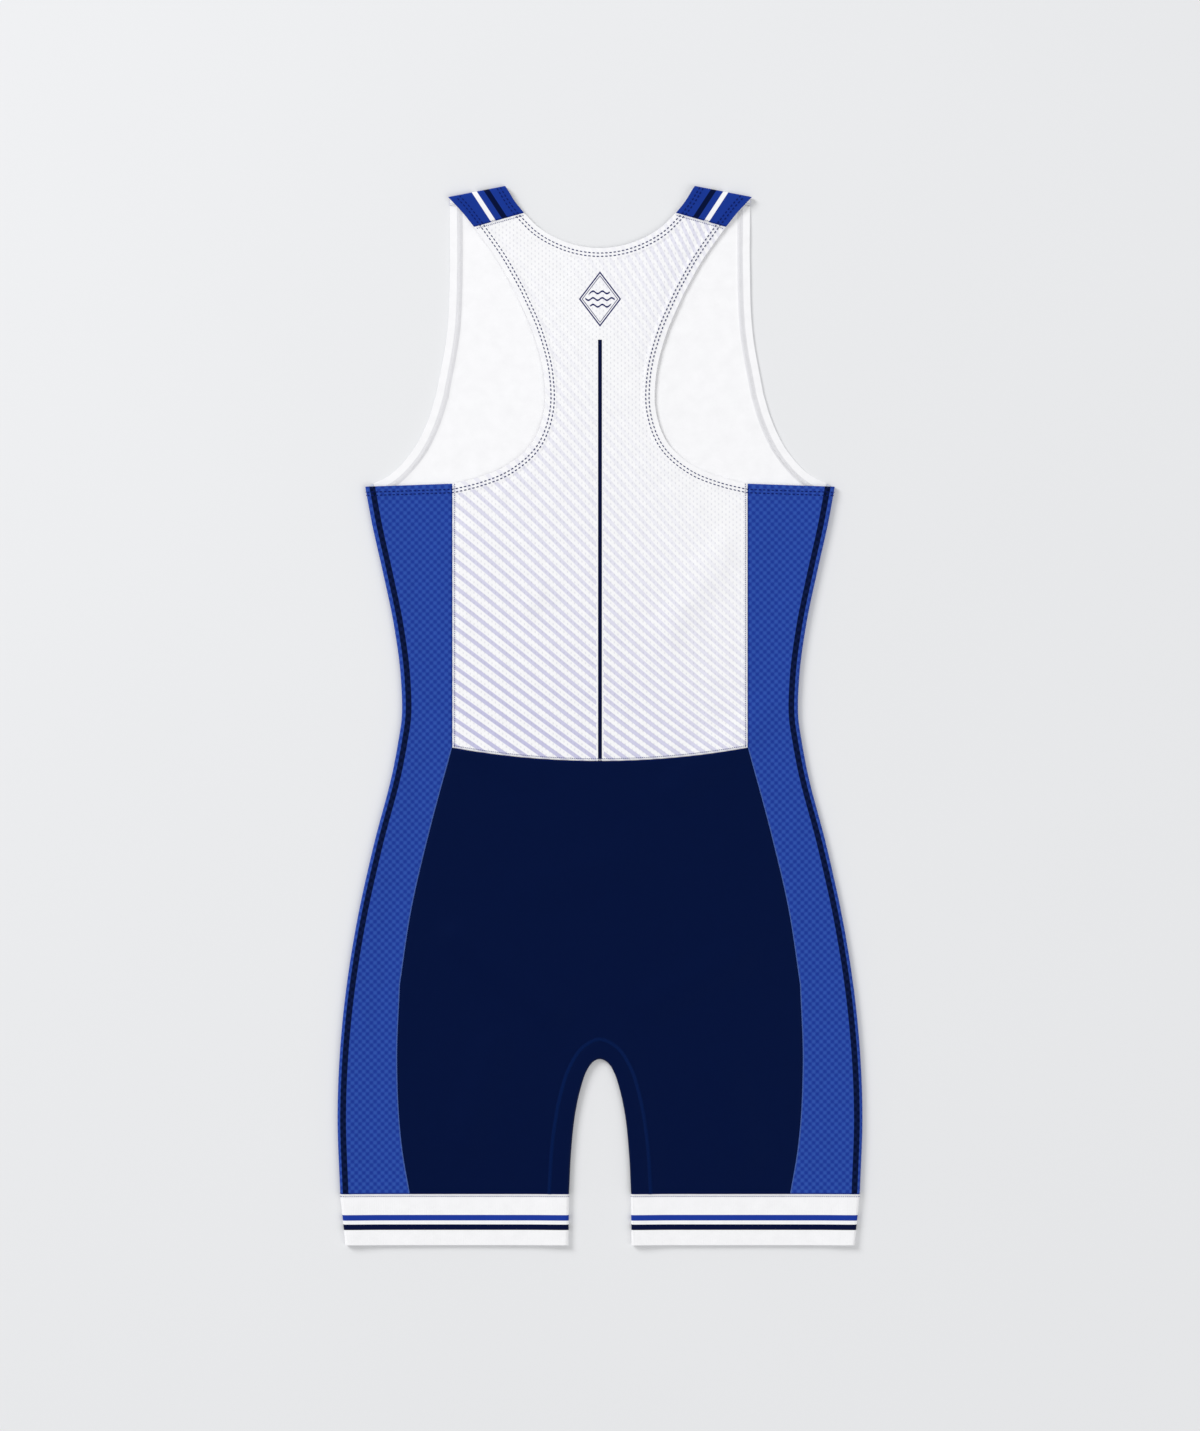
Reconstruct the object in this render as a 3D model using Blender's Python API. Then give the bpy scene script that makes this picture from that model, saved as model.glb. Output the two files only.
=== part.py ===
"""Rowing unisuit: a sleeveless one-piece suit with thigh-length legs, lying flat with its back up.

The model is in metres, +Z up. The suit lies on the plane z = 0: +Y runs from the leg hems to the
shoulders and +X is the wearer's right. The origin is the centre of the outline, on that plane.

The sizes below are in millimetres, as on a pattern cutter's chart. A place on the flat suit is
given by its distance across from the centre line and its height above the leg hems. Two layers of
cloth lie on each other: the front layer rests on the plane, and the back layer lies on the front
one. They join through rounded folds along the sides, the inseams and the shoulders.
"""

import math
from bisect import bisect
from collections import namedtuple

import bmesh
import bpy
from mathutils import Vector
from mathutils.geometry import interpolate_bezier, intersect_point_line

# Driving sizes, in millimetres.
SUIT_LENGTH = 954.0
CLOTH = 1.2
SEAM_GAP = 0.3
LAYER_GAP = 1.0
FOLD_HOLLOW = 2.6
FOLD_RADIUS = CLOTH + FOLD_HOLLOW / 2
FOLD_REACH = 34.0
HEM_WIDTH = 10.0
HEM_EASE = 3.0
HEM_LIFT = 0.5
BAND_HEIGHT = 46.0
WAIST_CURVE_REACH = 90.0
CHEST_TOP = 640.0
METRES = 0.001

Place = namedtuple("Place", "across height")
Crease = namedtuple("Crease", "x0 height0 x1 height1 spread lift")
Dye = namedtuple("Dye", "red green blue roughness")

# Corners that several pieces share.
WAIST_CENTRE = Place(0, 436)
WAIST_SIDE = Place(133, 448)
WAIST_FOLD = Place(182.6, 448)
UNDERARM_FOLD = Place(211.5, 683)
BACK_UNDERARM = Place(133, 685.8)
FRONT_UNDERARM = Place(204.5, 685.9)
BACK_NECK = Place(0, 898)
FRONT_NECK = Place(0, 814)
BACK_SHOULDER_BLADE = Place(75, 856)
FRONT_CHEST = Place(147.2, 766.8)
SHOULDER_INNER = Place(85.5, 954)
SHOULDER_OUTER = Place(136.8, 944)
STRAP_INNER = Place(68.4, 929.7)
STRAP_OUTER = Place(113.4, 917)
FRONT_STRAP_INNER = Place(84, 946.2)
FRONT_STRAP_OUTER = Place(135.3, 936.2)
HIP = Place(180, 235)
CROTCH = Place(0, 167.5)
GUSSET_TOP = Place(0, 185.4)

# Seams, folds and edges of the flat suit, each one from its lowest place upwards.
SIDE_FOLD_LOW = [
    Place(234, BAND_HEIGHT),
    Place(236.4, 118),
    Place(231.5, 206),
    Place(219.6, 288),
    Place(203.9, 360),
    Place(186, 430),
    WAIST_FOLD,
]
SIDE_FOLD_HIGH = [
    WAIST_FOLD,
    Place(178.6, 475),
    Place(179.2, 508),
    Place(185.4, 557),
    Place(196, 608),
    Place(205.4, 650),
    UNDERARM_FOLD,
]
SIDE_SEAM_THIGH = [Place(171, BAND_HEIGHT), Place(177.8, 86), Place(182.5, 165), HIP]
SIDE_SEAM_HIP = [HIP, Place(169.7, 302), Place(153.5, 372), WAIST_SIDE]
BACK_SIDE_SEAM = [WAIST_SIDE, BACK_UNDERARM]
FRONT_SIDE_SEAM = [WAIST_SIDE, Place(137, 510), Place(160, 585), Place(188, 645), FRONT_UNDERARM]
BACK_ARMHOLE_LOW = [
    BACK_UNDERARM,
    Place(110.7, 691.2),
    Place(84.2, 702),
    Place(60.3, 723.6),
    Place(50.2, 752),
    Place(50.4, 782),
    Place(59.9, 820.8),
    BACK_SHOULDER_BLADE,
]
BACK_ARMHOLE_HIGH = [BACK_SHOULDER_BLADE, Place(91.4, 885.6), STRAP_OUTER]
BACK_NECKLINE = [BACK_NECK, Place(16.4, 899.5), Place(36, 905.6), Place(55, 916.6), STRAP_INNER]
FRONT_ARMHOLE_LOW = [
    FRONT_UNDERARM,
    Place(193, 691.2),
    Place(170.6, 712.8),
    Place(153.9, 745),
    FRONT_CHEST,
]
FRONT_ARMHOLE_HIGH = [FRONT_CHEST, Place(137.7, 820.8), Place(135, 885.6), FRONT_STRAP_OUTER]
FRONT_NECKLINE = [
    FRONT_NECK,
    Place(28, 818),
    Place(54, 838),
    Place(68, 876),
    Place(75.5, 915),
    FRONT_STRAP_INNER,
]
STRAP_NECK_EDGE = [STRAP_INNER, Place(76.5, 939.6), SHOULDER_INNER]
STRAP_ARM_EDGE = [STRAP_OUTER, Place(124.2, 930.5), SHOULDER_OUTER]
CROTCH_FOLD = [
    Place(27.9, BAND_HEIGHT),
    Place(26, 84),
    Place(21.8, 121.5),
    Place(17.2, 142),
    Place(12.9, 155),
    Place(9.2, 161.7),
    Place(4.9, 166),
    CROTCH,
]
GUSSET_SEAM = [
    Place(45.9, BAND_HEIGHT),
    Place(42, 99),
    Place(35.6, 135),
    Place(27.5, 160),
    Place(15, 178.5),
    GUSSET_TOP,
]
BAND_OUTER = [Place(229.3, 0), Place(234, BAND_HEIGHT)]
BAND_INNER = [Place(28.4, 0), Place(27.9, BAND_HEIGHT)]

# Soft ridges of the back layer, each between two ends: how far they spread and how high they rise.
CREASES = [
    Crease(-44, 212, -128, 276, 24, 1.8),
    Crease(48, 218, 120, 258, 26, 1.5),
    Crease(-150, 462, -66, 424, 22, 1.3),
    Crease(148, 478, 70, 410, 25, 1.6),
    Crease(-60, 322, 24, 350, 30, 1.1),
    Crease(-120, 640, -62, 584, 26, 1.5),
    Crease(112, 628, 60, 552, 24, 1.3),
    Crease(-120, 96, -96, 178, 24, 1.4),
    Crease(134, 84, 112, 160, 24, 1.2),
]

# The cloths, as they look: red, green and blue on a screen.
DYES = {
    "white_mesh": Dye(0.94, 0.94, 0.955, 0.75),
    "blue_mesh": Dye(0.16, 0.28, 0.62, 0.7),
    "strap_blue": Dye(0.12, 0.24, 0.565, 0.6),
    "navy_lycra": Dye(0.005, 0.055, 0.22, 0.5),
    "band_white": Dye(0.95, 0.95, 0.96, 0.65),
}

# How finely each stretch is divided.
SPAN_STEPS = 10
THIGH_ROWS = 12
HIP_ROWS = 13
CHEST_ROWS = 12
ARMHOLE_ROWS = 14
STRAP_STEP = 13.0
PANEL_COLUMNS = 9
SIDE_COLUMNS = 5
GUSSET_COLUMNS = 2
SHOULDER_COLUMNS = 3
SHOULDER_STEPS = 3
BAND_ROWS = 3
BAND_COLUMNS = 10
FOLD_STEPS = 6
ARCH_CROWDING = 1.6
WELD_DIGITS = 7
SHARP_ANGLE = math.radians(50)


def smooth(share):
    """0 below 0, 1 above 1, and an even S between."""
    share = min(1.0, max(0.0, share))
    return share * share * (3 - 2 * share)


def curve(places):
    """Points along a smooth curve through the places of a table.

    It meets the centre line level, because its mirror image carries on from there.
    """
    knots = [Vector(place) for place in places]
    spans = [(end - start).length for start, end in zip(knots, knots[1:])]
    runs = [(end - start) / span for start, end, span in zip(knots, knots[1:], spans)]
    slopes = [runs[0]]
    for before, after, span, next_span in zip(runs, runs[1:], spans, spans[1:]):
        slopes.append((before * next_span + after * span) / (span + next_span))
    slopes.append(runs[-1])
    for end in (0, -1):
        if knots[end].x == 0:
            slopes[end] = Vector((math.copysign(1, runs[end].x), 0))
    points = []
    for start, end, span, leave, reach in zip(knots, knots[1:], spans, slopes, slopes[1:]):
        handles = (start + leave * span / 3, end - reach * span / 3)
        points += interpolate_bezier(start, *handles, end, SPAN_STEPS + 1)[:-1]
    return [Vector((point.x, point.y)) for point in points + [knots[-1]]]


def spaced(line, count, crowding=1.0):
    """Points at even steps along a line, or closer together towards its end."""
    reached = [0.0]
    for start, end in zip(line, line[1:]):
        reached.append(reached[-1] + (end - start).length)
    points = []
    for step in range(count + 1):
        goal = reached[-1] * (1 - (1 - step / count) ** crowding)
        after = min(bisect(reached, goal), len(line) - 1)
        share = (goal - reached[after - 1]) / (reached[after] - reached[after - 1])
        points.append(line[after - 1].lerp(line[after], share))
    return points


def length(line):
    return sum((end - start).length for start, end in zip(line, line[1:]))


def beside(line, shift):
    """A line moved to its left, or to its right where the shift is negative."""
    moved = []
    for place, point in enumerate(line):
        ahead = line[min(place + 1, len(line) - 1)] - line[max(place - 1, 0)]
        moved.append(point + Vector((-ahead.y, ahead.x)).normalized() * shift)
    return moved


def distance(point, line):
    """How far a point is from a line."""
    nearest = math.inf
    for start, end in zip(line, line[1:]):
        foot, share = intersect_point_line(point, start, end)
        foot = start.lerp(end, min(1.0, max(0.0, share)))
        nearest = min(nearest, (point - foot).length)
    return nearest


HALF_GAP = SEAM_GAP / 2
SIDE_FOLD = curve(SIDE_FOLD_LOW) + curve(SIDE_FOLD_HIGH)[1:]
FOLDS = [
    curve(BAND_OUTER) + SIDE_FOLD[1:],
    curve(BAND_INNER) + curve(CROTCH_FOLD)[1:],
    curve([SHOULDER_INNER, SHOULDER_OUTER]),
]
BACK_HEMS = [
    curve(BACK_NECKLINE) + curve(STRAP_NECK_EDGE)[1:],
    curve([UNDERARM_FOLD, BACK_UNDERARM]) + curve(BACK_ARMHOLE_LOW)[1:],
    curve(BACK_ARMHOLE_HIGH) + curve(STRAP_ARM_EDGE)[1:],
]
FRONT_HEMS = [
    curve(FRONT_NECKLINE),
    curve([UNDERARM_FOLD, FRONT_UNDERARM]) + curve(FRONT_ARMHOLE_LOW)[1:],
    curve(FRONT_ARMHOLE_HIGH),
]


def hem_rise(point, hems):
    """Extra height where the edge of the cloth is turned in and stitched down."""
    edge = min(distance(point, line) for line in hems)
    return HEM_LIFT * (1 - smooth((edge - HEM_WIDTH) / HEM_EASE))


def crease_rise(point):
    """Height of the soft ridges at a point of the back layer."""
    rise = 0.0
    for crease in CREASES:
        start = Vector((crease.x0, crease.height0))
        end = Vector((crease.x1, crease.height1))
        away = distance(point, [start, end])
        rise += crease.lift * (1 - smooth(away / crease.spread))
    return rise


def flatness(point):
    """0 at a fold, 1 where the cloth lies flat."""
    folded = Vector((abs(point.x), point.y))
    edge = min(distance(folded, line) for line in FOLDS)
    return smooth((edge - FOLD_RADIUS) / FOLD_REACH)


def back_pair(point):
    """Outer and inner point of the back layer over a place on the flat suit."""
    flat = flatness(point)
    folded = Vector((abs(point.x), point.y))
    hollow = FOLD_HOLLOW + (LAYER_GAP - FOLD_HOLLOW) * flat
    under = CLOTH + hollow + flat * crease_rise(point)
    top = under + CLOTH + flat * hem_rise(folded, BACK_HEMS)
    return (Vector((*point, top)), Vector((*point, under)))


def front_pair(point):
    """Outer and inner point of the front layer, whose outer face rests on the plane."""
    folded = Vector((abs(point.x), point.y))
    inside = CLOTH + flatness(point) * hem_rise(folded, FRONT_HEMS)
    return (Vector((*point, 0.0)), Vector((*point, inside)))


def bend_pair(turn, outward, angle):
    """Outer and inner point of a fold, at an angle from its top, round the line under turn."""
    pair = []
    for radius in (FOLD_RADIUS, FOLD_RADIUS - CLOTH):
        place = turn + outward * radius * math.sin(angle)
        pair.append(Vector((*place, FOLD_RADIUS + radius * math.cos(angle))))
    return tuple(pair)


def bend(turn, outward):
    """The pairs of a fold, from the back layer to the front one, without its two ends."""
    return [bend_pair(turn, outward, math.pi * step / FOLD_STEPS) for step in range(1, FOLD_STEPS)]


def straight(start, end, count):
    return [start.lerp(end, step / count) for step in range(count + 1)]


def wrap(back_seam, fold, front_seam, count):
    """A section of a piece that runs over a fold, from its seam at the back to that at the front."""
    outward = (fold - back_seam).normalized()
    turn = fold - outward * FOLD_RADIUS
    back = [back_pair(point) for point in straight(back_seam, turn, count)]
    front = [front_pair(point) for point in straight(turn, front_seam, count)]
    return back + bend(turn, outward) + front


def across(inner, outer):
    """Points across half a panel, with close ones for the hems at both ends.

    Near the waist the row curves as the waist seam does.
    """
    width = (outer - inner).length
    hem_stops = [0.0, HEM_WIDTH / width, (HEM_WIDTH + HEM_EASE) / width]
    first, last = hem_stops[-1], 1 - hem_stops[-1]
    middle = [first + (last - first) * step / PANEL_COLUMNS for step in range(1, PANEL_COLUMNS)]
    stops = hem_stops + middle + [1 - stop for stop in reversed(hem_stops)]
    curved = 1 - smooth(abs(inner.y - WAIST_CENTRE.height) / WAIST_CURVE_REACH)
    points = []
    for stop in stops:
        point = inner.lerp(outer, stop)
        point.y += (outer.y - inner.y) * (stop * stop - stop) * curved
        points.append(point)
    return points


def both_sides(half):
    """The rows of the right half, and their mirror image."""
    return [half, [[Vector((-point.x, point.y)) for point in row] for row in half]]


def centre_line(low, high, count):
    return straight(Vector((0, low)), Vector((0, high)), count)


def raised(row, rise):
    """A row of points moved up the suit, or down it."""
    return [point + Vector((0, rise)) for point in row]


def finish(name, cloth, sheets):
    """Make a closed wall from sheets of outer and inner points, welded where sheets meet."""
    mesh = bmesh.new()
    corners = {}

    def corner(pair):
        key = tuple(round(value, WELD_DIGITS) for value in pair[0])
        if key not in corners:
            made = []
            for x, y, z in pair:
                place = Vector((x, y - SUIT_LENGTH / 2, z)) * METRES
                made.append(mesh.verts.new(place))
            corners[key] = made
        return corners[key]

    for sheet in sheets:
        for row, next_row in zip(sheet, sheet[1:]):
            for pairs in zip(row, row[1:], next_row[1:], next_row):
                outer, inner = zip(*(corner(pair) for pair in pairs))
                mesh.faces.new(outer)
                mesh.faces.new(inner)
    partner = {outer: inner for outer, inner in corners.values()}
    rims = [edge.verts[:] for edge in mesh.edges if edge.is_boundary]
    for start, end in rims:
        if start in partner and end in partner:
            mesh.faces.new([start, end, partner[end], partner[start]])
    bmesh.ops.recalc_face_normals(mesh, faces=mesh.faces)
    data = bpy.data.meshes.new(name)
    mesh.to_mesh(data)
    mesh.free()
    data.shade_smooth()
    data.set_sharp_from_angle(angle=SHARP_ANGLE)
    data.materials.append(cloth)
    piece = bpy.data.objects.new(name, data)
    bpy.context.collection.objects.link(piece)
    return piece


def cloth(name, dye):
    """A fabric in one colour."""
    fabric = bpy.data.materials.new(name)
    fabric.use_nodes = True
    shader = fabric.node_tree.nodes["Principled BSDF"]
    shades = [linear(dye.red), linear(dye.green), linear(dye.blue)]
    shader.inputs["Base Color"].default_value = (*shades, 1.0)
    shader.inputs["Roughness"].default_value = dye.roughness
    shader.inputs["Metallic"].default_value = 0.0
    return fabric


def linear(value):
    """Screen brightness as an amount of light."""
    if value <= 0.04045:
        return value / 12.92
    return ((value + 0.055) / 1.055) ** 2.4


def shorts_rows():
    """Half of the shorts, from the leg band to the waist, between the gusset and the side seam."""
    arch = spaced(curve(GUSSET_SEAM), THIGH_ROWS, ARCH_CROWDING)
    thigh = spaced(curve(SIDE_SEAM_THIGH), THIGH_ROWS)
    hip = spaced(curve(SIDE_SEAM_HIP), HIP_ROWS)
    inner = beside(arch, -HALF_GAP)
    inner += centre_line(inner[-1].y, WAIST_CENTRE.height, HIP_ROWS)[1:]
    inner[THIGH_ROWS].x = 0.0
    outer = beside(thigh + hip[1:], HALF_GAP)
    rows = [across(start, end) for start, end in zip(inner, outer)]
    rows[0] = raised(rows[0], HALF_GAP)
    rows[-1] = raised(rows[-1], -HALF_GAP)
    return rows


def yoke_rows(side_seam, armhole_low, neck, armhole_high, neckline):
    """Half of the top, from the waist to the strap seam."""
    side = beside(spaced(curve(side_seam), CHEST_ROWS), HALF_GAP)
    neck_line = curve(neckline)
    strap_rows = round(length(neck_line) / STRAP_STEP)
    outer = side + spaced(curve(armhole_low), ARMHOLE_ROWS)[1:]
    outer += spaced(curve(armhole_high), strap_rows)[1:]
    inner = centre_line(WAIST_CENTRE.height, CHEST_TOP, CHEST_ROWS)
    inner += centre_line(CHEST_TOP, neck.height, ARMHOLE_ROWS)[1:]
    inner += spaced(neck_line, strap_rows)[1:]
    rows = [across(start, end) for start, end in zip(inner, outer)]
    rows[0] = raised(rows[0], HALF_GAP)
    rows[-1] = raised(rows[-1], -HALF_GAP)
    return rows


def panel(name, fabric, rows, pair):
    """A flat panel on both sides of the centre line, in the back or the front layer."""
    sheets = [[[pair(point) for point in row] for row in half] for half in both_sides(rows)]
    return finish(name, fabric, sheets)


def side_panel(name, fabric, side):
    """The panel that wraps round one side of the body, from the leg band to the underarm."""
    thigh = spaced(curve(SIDE_SEAM_THIGH), THIGH_ROWS) + spaced(curve(SIDE_SEAM_HIP), HIP_ROWS)[1:]
    back = beside(thigh + spaced(curve(BACK_SIDE_SEAM), CHEST_ROWS)[1:], -HALF_GAP)
    front = beside(thigh + spaced(curve(FRONT_SIDE_SEAM), CHEST_ROWS)[1:], -HALF_GAP)
    fold = spaced(curve(SIDE_FOLD_LOW), THIGH_ROWS + HIP_ROWS)
    fold += spaced(curve(SIDE_FOLD_HIGH), CHEST_ROWS)[1:]
    for line in (back, front, fold):
        line[0] = line[0] + Vector((0, HALF_GAP))
    sheet = []
    for places in zip(back, fold, front):
        back_seam, edge, front_seam = [Vector((side * place.x, place.y)) for place in places]
        sheet.append(wrap(back_seam, edge, front_seam, SIDE_COLUMNS))
    return finish(name, fabric, [sheet])


def gusset(name, fabric):
    """The inner-thigh piece, over the crotch and down the inseam of each leg."""
    seam = beside(spaced(curve(GUSSET_SEAM), THIGH_ROWS, ARCH_CROWDING), HALF_GAP)
    fold = spaced(curve(CROTCH_FOLD), THIGH_ROWS, ARCH_CROWDING)
    seam[-1].x = 0.0
    for line in (seam, fold):
        line[0] = line[0] + Vector((0, HALF_GAP))
    sheets = []
    for side in (1, -1):
        sheet = []
        for places in zip(seam, fold):
            inseam, edge = [Vector((side * place.x, place.y)) for place in places]
            sheet.append(wrap(inseam, edge, inseam, GUSSET_COLUMNS))
        sheets.append(sheet)
    return finish(name, fabric, sheets)


def shoulder(name, fabric, side):
    """The strap piece that runs over the shoulder from the yoke to the front."""
    neck_edge = spaced(curve(STRAP_NECK_EDGE), SHOULDER_STEPS)
    arm_edge = spaced(curve(STRAP_ARM_EDGE), SHOULDER_STEPS)
    front_ends = [Vector(FRONT_STRAP_INNER), Vector(FRONT_STRAP_OUTER)]
    rows = [across(start, end) for start, end in zip(neck_edge, arm_edge)]
    rows[0] = raised(rows[0], HALF_GAP)
    front = raised(across(*front_ends), HALF_GAP)
    sheet = []
    for places in zip(*rows, front):
        *back, fold, front_seam = [Vector((side * place.x, place.y)) for place in places]
        section = wrap(back[-1], fold, front_seam, SHOULDER_COLUMNS)
        sheet.append([back_pair(point) for point in back[:-1]] + section)
    return finish(name, fabric, [sheet])


def leg_band(name, fabric, side):
    """The band at the hem of one leg, a tube that lies flat."""
    sheet = []
    outer_edge = spaced(curve(BAND_OUTER), BAND_ROWS)
    inner_edge = spaced(curve(BAND_INNER), BAND_ROWS)
    for line in (outer_edge, inner_edge):
        line[-1] = line[-1] - Vector((0, HALF_GAP))
    for places in zip(inner_edge, outer_edge):
        inner_fold, outer_fold = [Vector((side * place.x, place.y)) for place in places]
        outward = (outer_fold - inner_fold).normalized()
        outer_turn = outer_fold - outward * FOLD_RADIUS
        inner_turn = inner_fold + outward * FOLD_RADIUS
        points = straight(inner_turn, outer_turn, BAND_COLUMNS)
        ring = [back_pair(point) for point in points]
        ring += bend(outer_turn, outward)
        ring += [front_pair(point) for point in reversed(points)]
        ring += reversed(bend(inner_turn, -outward))
        sheet.append(ring + ring[:1])
    return finish(name, fabric, [sheet])


def build():
    fabrics = {name: cloth(name, dye) for name, dye in DYES.items()}
    shorts = shorts_rows()
    back_top = yoke_rows(
        BACK_SIDE_SEAM, BACK_ARMHOLE_LOW, BACK_NECK, BACK_ARMHOLE_HIGH, BACK_NECKLINE
    )
    front_top = yoke_rows(
        FRONT_SIDE_SEAM, FRONT_ARMHOLE_LOW, FRONT_NECK, FRONT_ARMHOLE_HIGH, FRONT_NECKLINE
    )
    panel("back_yoke", fabrics["white_mesh"], back_top, back_pair)
    panel("front_yoke", fabrics["white_mesh"], front_top, front_pair)
    panel("back_shorts", fabrics["navy_lycra"], shorts, back_pair)
    panel("front_shorts", fabrics["navy_lycra"], shorts, front_pair)
    gusset("gusset", fabrics["navy_lycra"])
    for side, hand in ((1, "right"), (-1, "left")):
        side_panel(f"side_panel_{hand}", fabrics["blue_mesh"], side)
        shoulder(f"shoulder_{hand}", fabrics["strap_blue"], side)
        leg_band(f"leg_band_{hand}", fabrics["band_white"], side)


for thing in list(bpy.data.objects):
    bpy.data.objects.remove(thing)
build()
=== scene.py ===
# %% [markdown]
# # A rowing unisuit, laid flat
# A unisuit is cut from a few pieces of stretch knit: a white mesh racer back, blue mesh sides that
# wrap round the body, navy shorts with a gusset between the legs, blue shoulder pieces and white
# elastic bands at the legs. Here it lies flat on a table with its back up.
#
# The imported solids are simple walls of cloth. This script dresses them: each one is replaced by a
# thin, finely divided shell on the same form, and the sewing is laid on top as real threads. All
# the pieces come from one chart of seams and edges, so that they still meet.

# %% Load the frame
import math
from collections import namedtuple
from functools import reduce

import bmesh
import bpy
import numpy as np
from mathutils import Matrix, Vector, noise


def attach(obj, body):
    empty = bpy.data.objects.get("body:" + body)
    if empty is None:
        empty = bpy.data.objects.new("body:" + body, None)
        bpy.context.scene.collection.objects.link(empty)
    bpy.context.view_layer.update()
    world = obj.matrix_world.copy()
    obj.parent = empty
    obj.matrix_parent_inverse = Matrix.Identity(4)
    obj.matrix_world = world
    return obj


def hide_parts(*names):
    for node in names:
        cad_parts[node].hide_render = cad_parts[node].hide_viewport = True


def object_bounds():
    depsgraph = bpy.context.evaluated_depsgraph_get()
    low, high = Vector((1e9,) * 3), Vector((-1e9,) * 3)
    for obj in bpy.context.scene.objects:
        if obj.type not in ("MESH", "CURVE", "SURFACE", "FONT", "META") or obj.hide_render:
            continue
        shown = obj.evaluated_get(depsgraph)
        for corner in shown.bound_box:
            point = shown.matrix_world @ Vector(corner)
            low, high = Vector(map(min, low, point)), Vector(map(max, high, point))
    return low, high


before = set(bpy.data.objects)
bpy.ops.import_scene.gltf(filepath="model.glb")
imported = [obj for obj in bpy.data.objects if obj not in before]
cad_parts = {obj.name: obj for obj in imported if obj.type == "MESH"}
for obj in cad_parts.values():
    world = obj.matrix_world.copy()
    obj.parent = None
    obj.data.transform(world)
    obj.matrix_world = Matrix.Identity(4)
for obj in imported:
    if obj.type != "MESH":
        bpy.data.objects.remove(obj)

solid_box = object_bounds()
MM = 0.001
SUIT_LENGTH = 954.0
MIDDLE = SUIT_LENGTH / 2
print("solids measure", [round(side / MM, 1) for side in solid_box[1] - solid_box[0]], "mm")

# %% [markdown]
# ## The chart
# A pattern cutter works with a chart of the flat garment. Each place has its distance across from
# the centre line and its height above the leg hems, in millimetres. The suit is symmetric, so the
# chart holds its right half alone, and the left half is a mirror image.
#
# A few places in each row are enough: a smooth curve goes through them, as a tailor's French curve
# would. More points would not be more exact, and would be harder to change.

# %% Corners that several pieces share
Place = namedtuple("Place", "across height")

BAND_HEIGHT = 46.0
WAIST_SIDE = Place(133, 448)
WAIST_FOLD = Place(182.6, 448)
UNDERARM_FOLD = Place(211.5, 683)
BACK_UNDERARM = Place(133, 685.8)
FRONT_UNDERARM = Place(204.5, 685.9)
BACK_SHOULDER_BLADE = Place(75, 856)
FRONT_CHEST = Place(147.2, 766.8)
SHOULDER_INNER = Place(85.5, 954)
SHOULDER_OUTER = Place(136.8, 944)
STRAP_INNER = Place(68.4, 929.7)
STRAP_OUTER = Place(113.4, 917)
FRONT_STRAP_INNER = Place(84, 946.2)
FRONT_STRAP_OUTER = Place(135.3, 936.2)
HIP = Place(180, 235)
WAIST_HEIGHT = 436.0
BACK_NECK_HEIGHT = 898.0
FRONT_NECK_HEIGHT = 814.0
CHEST_TOP = 640.0

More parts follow.
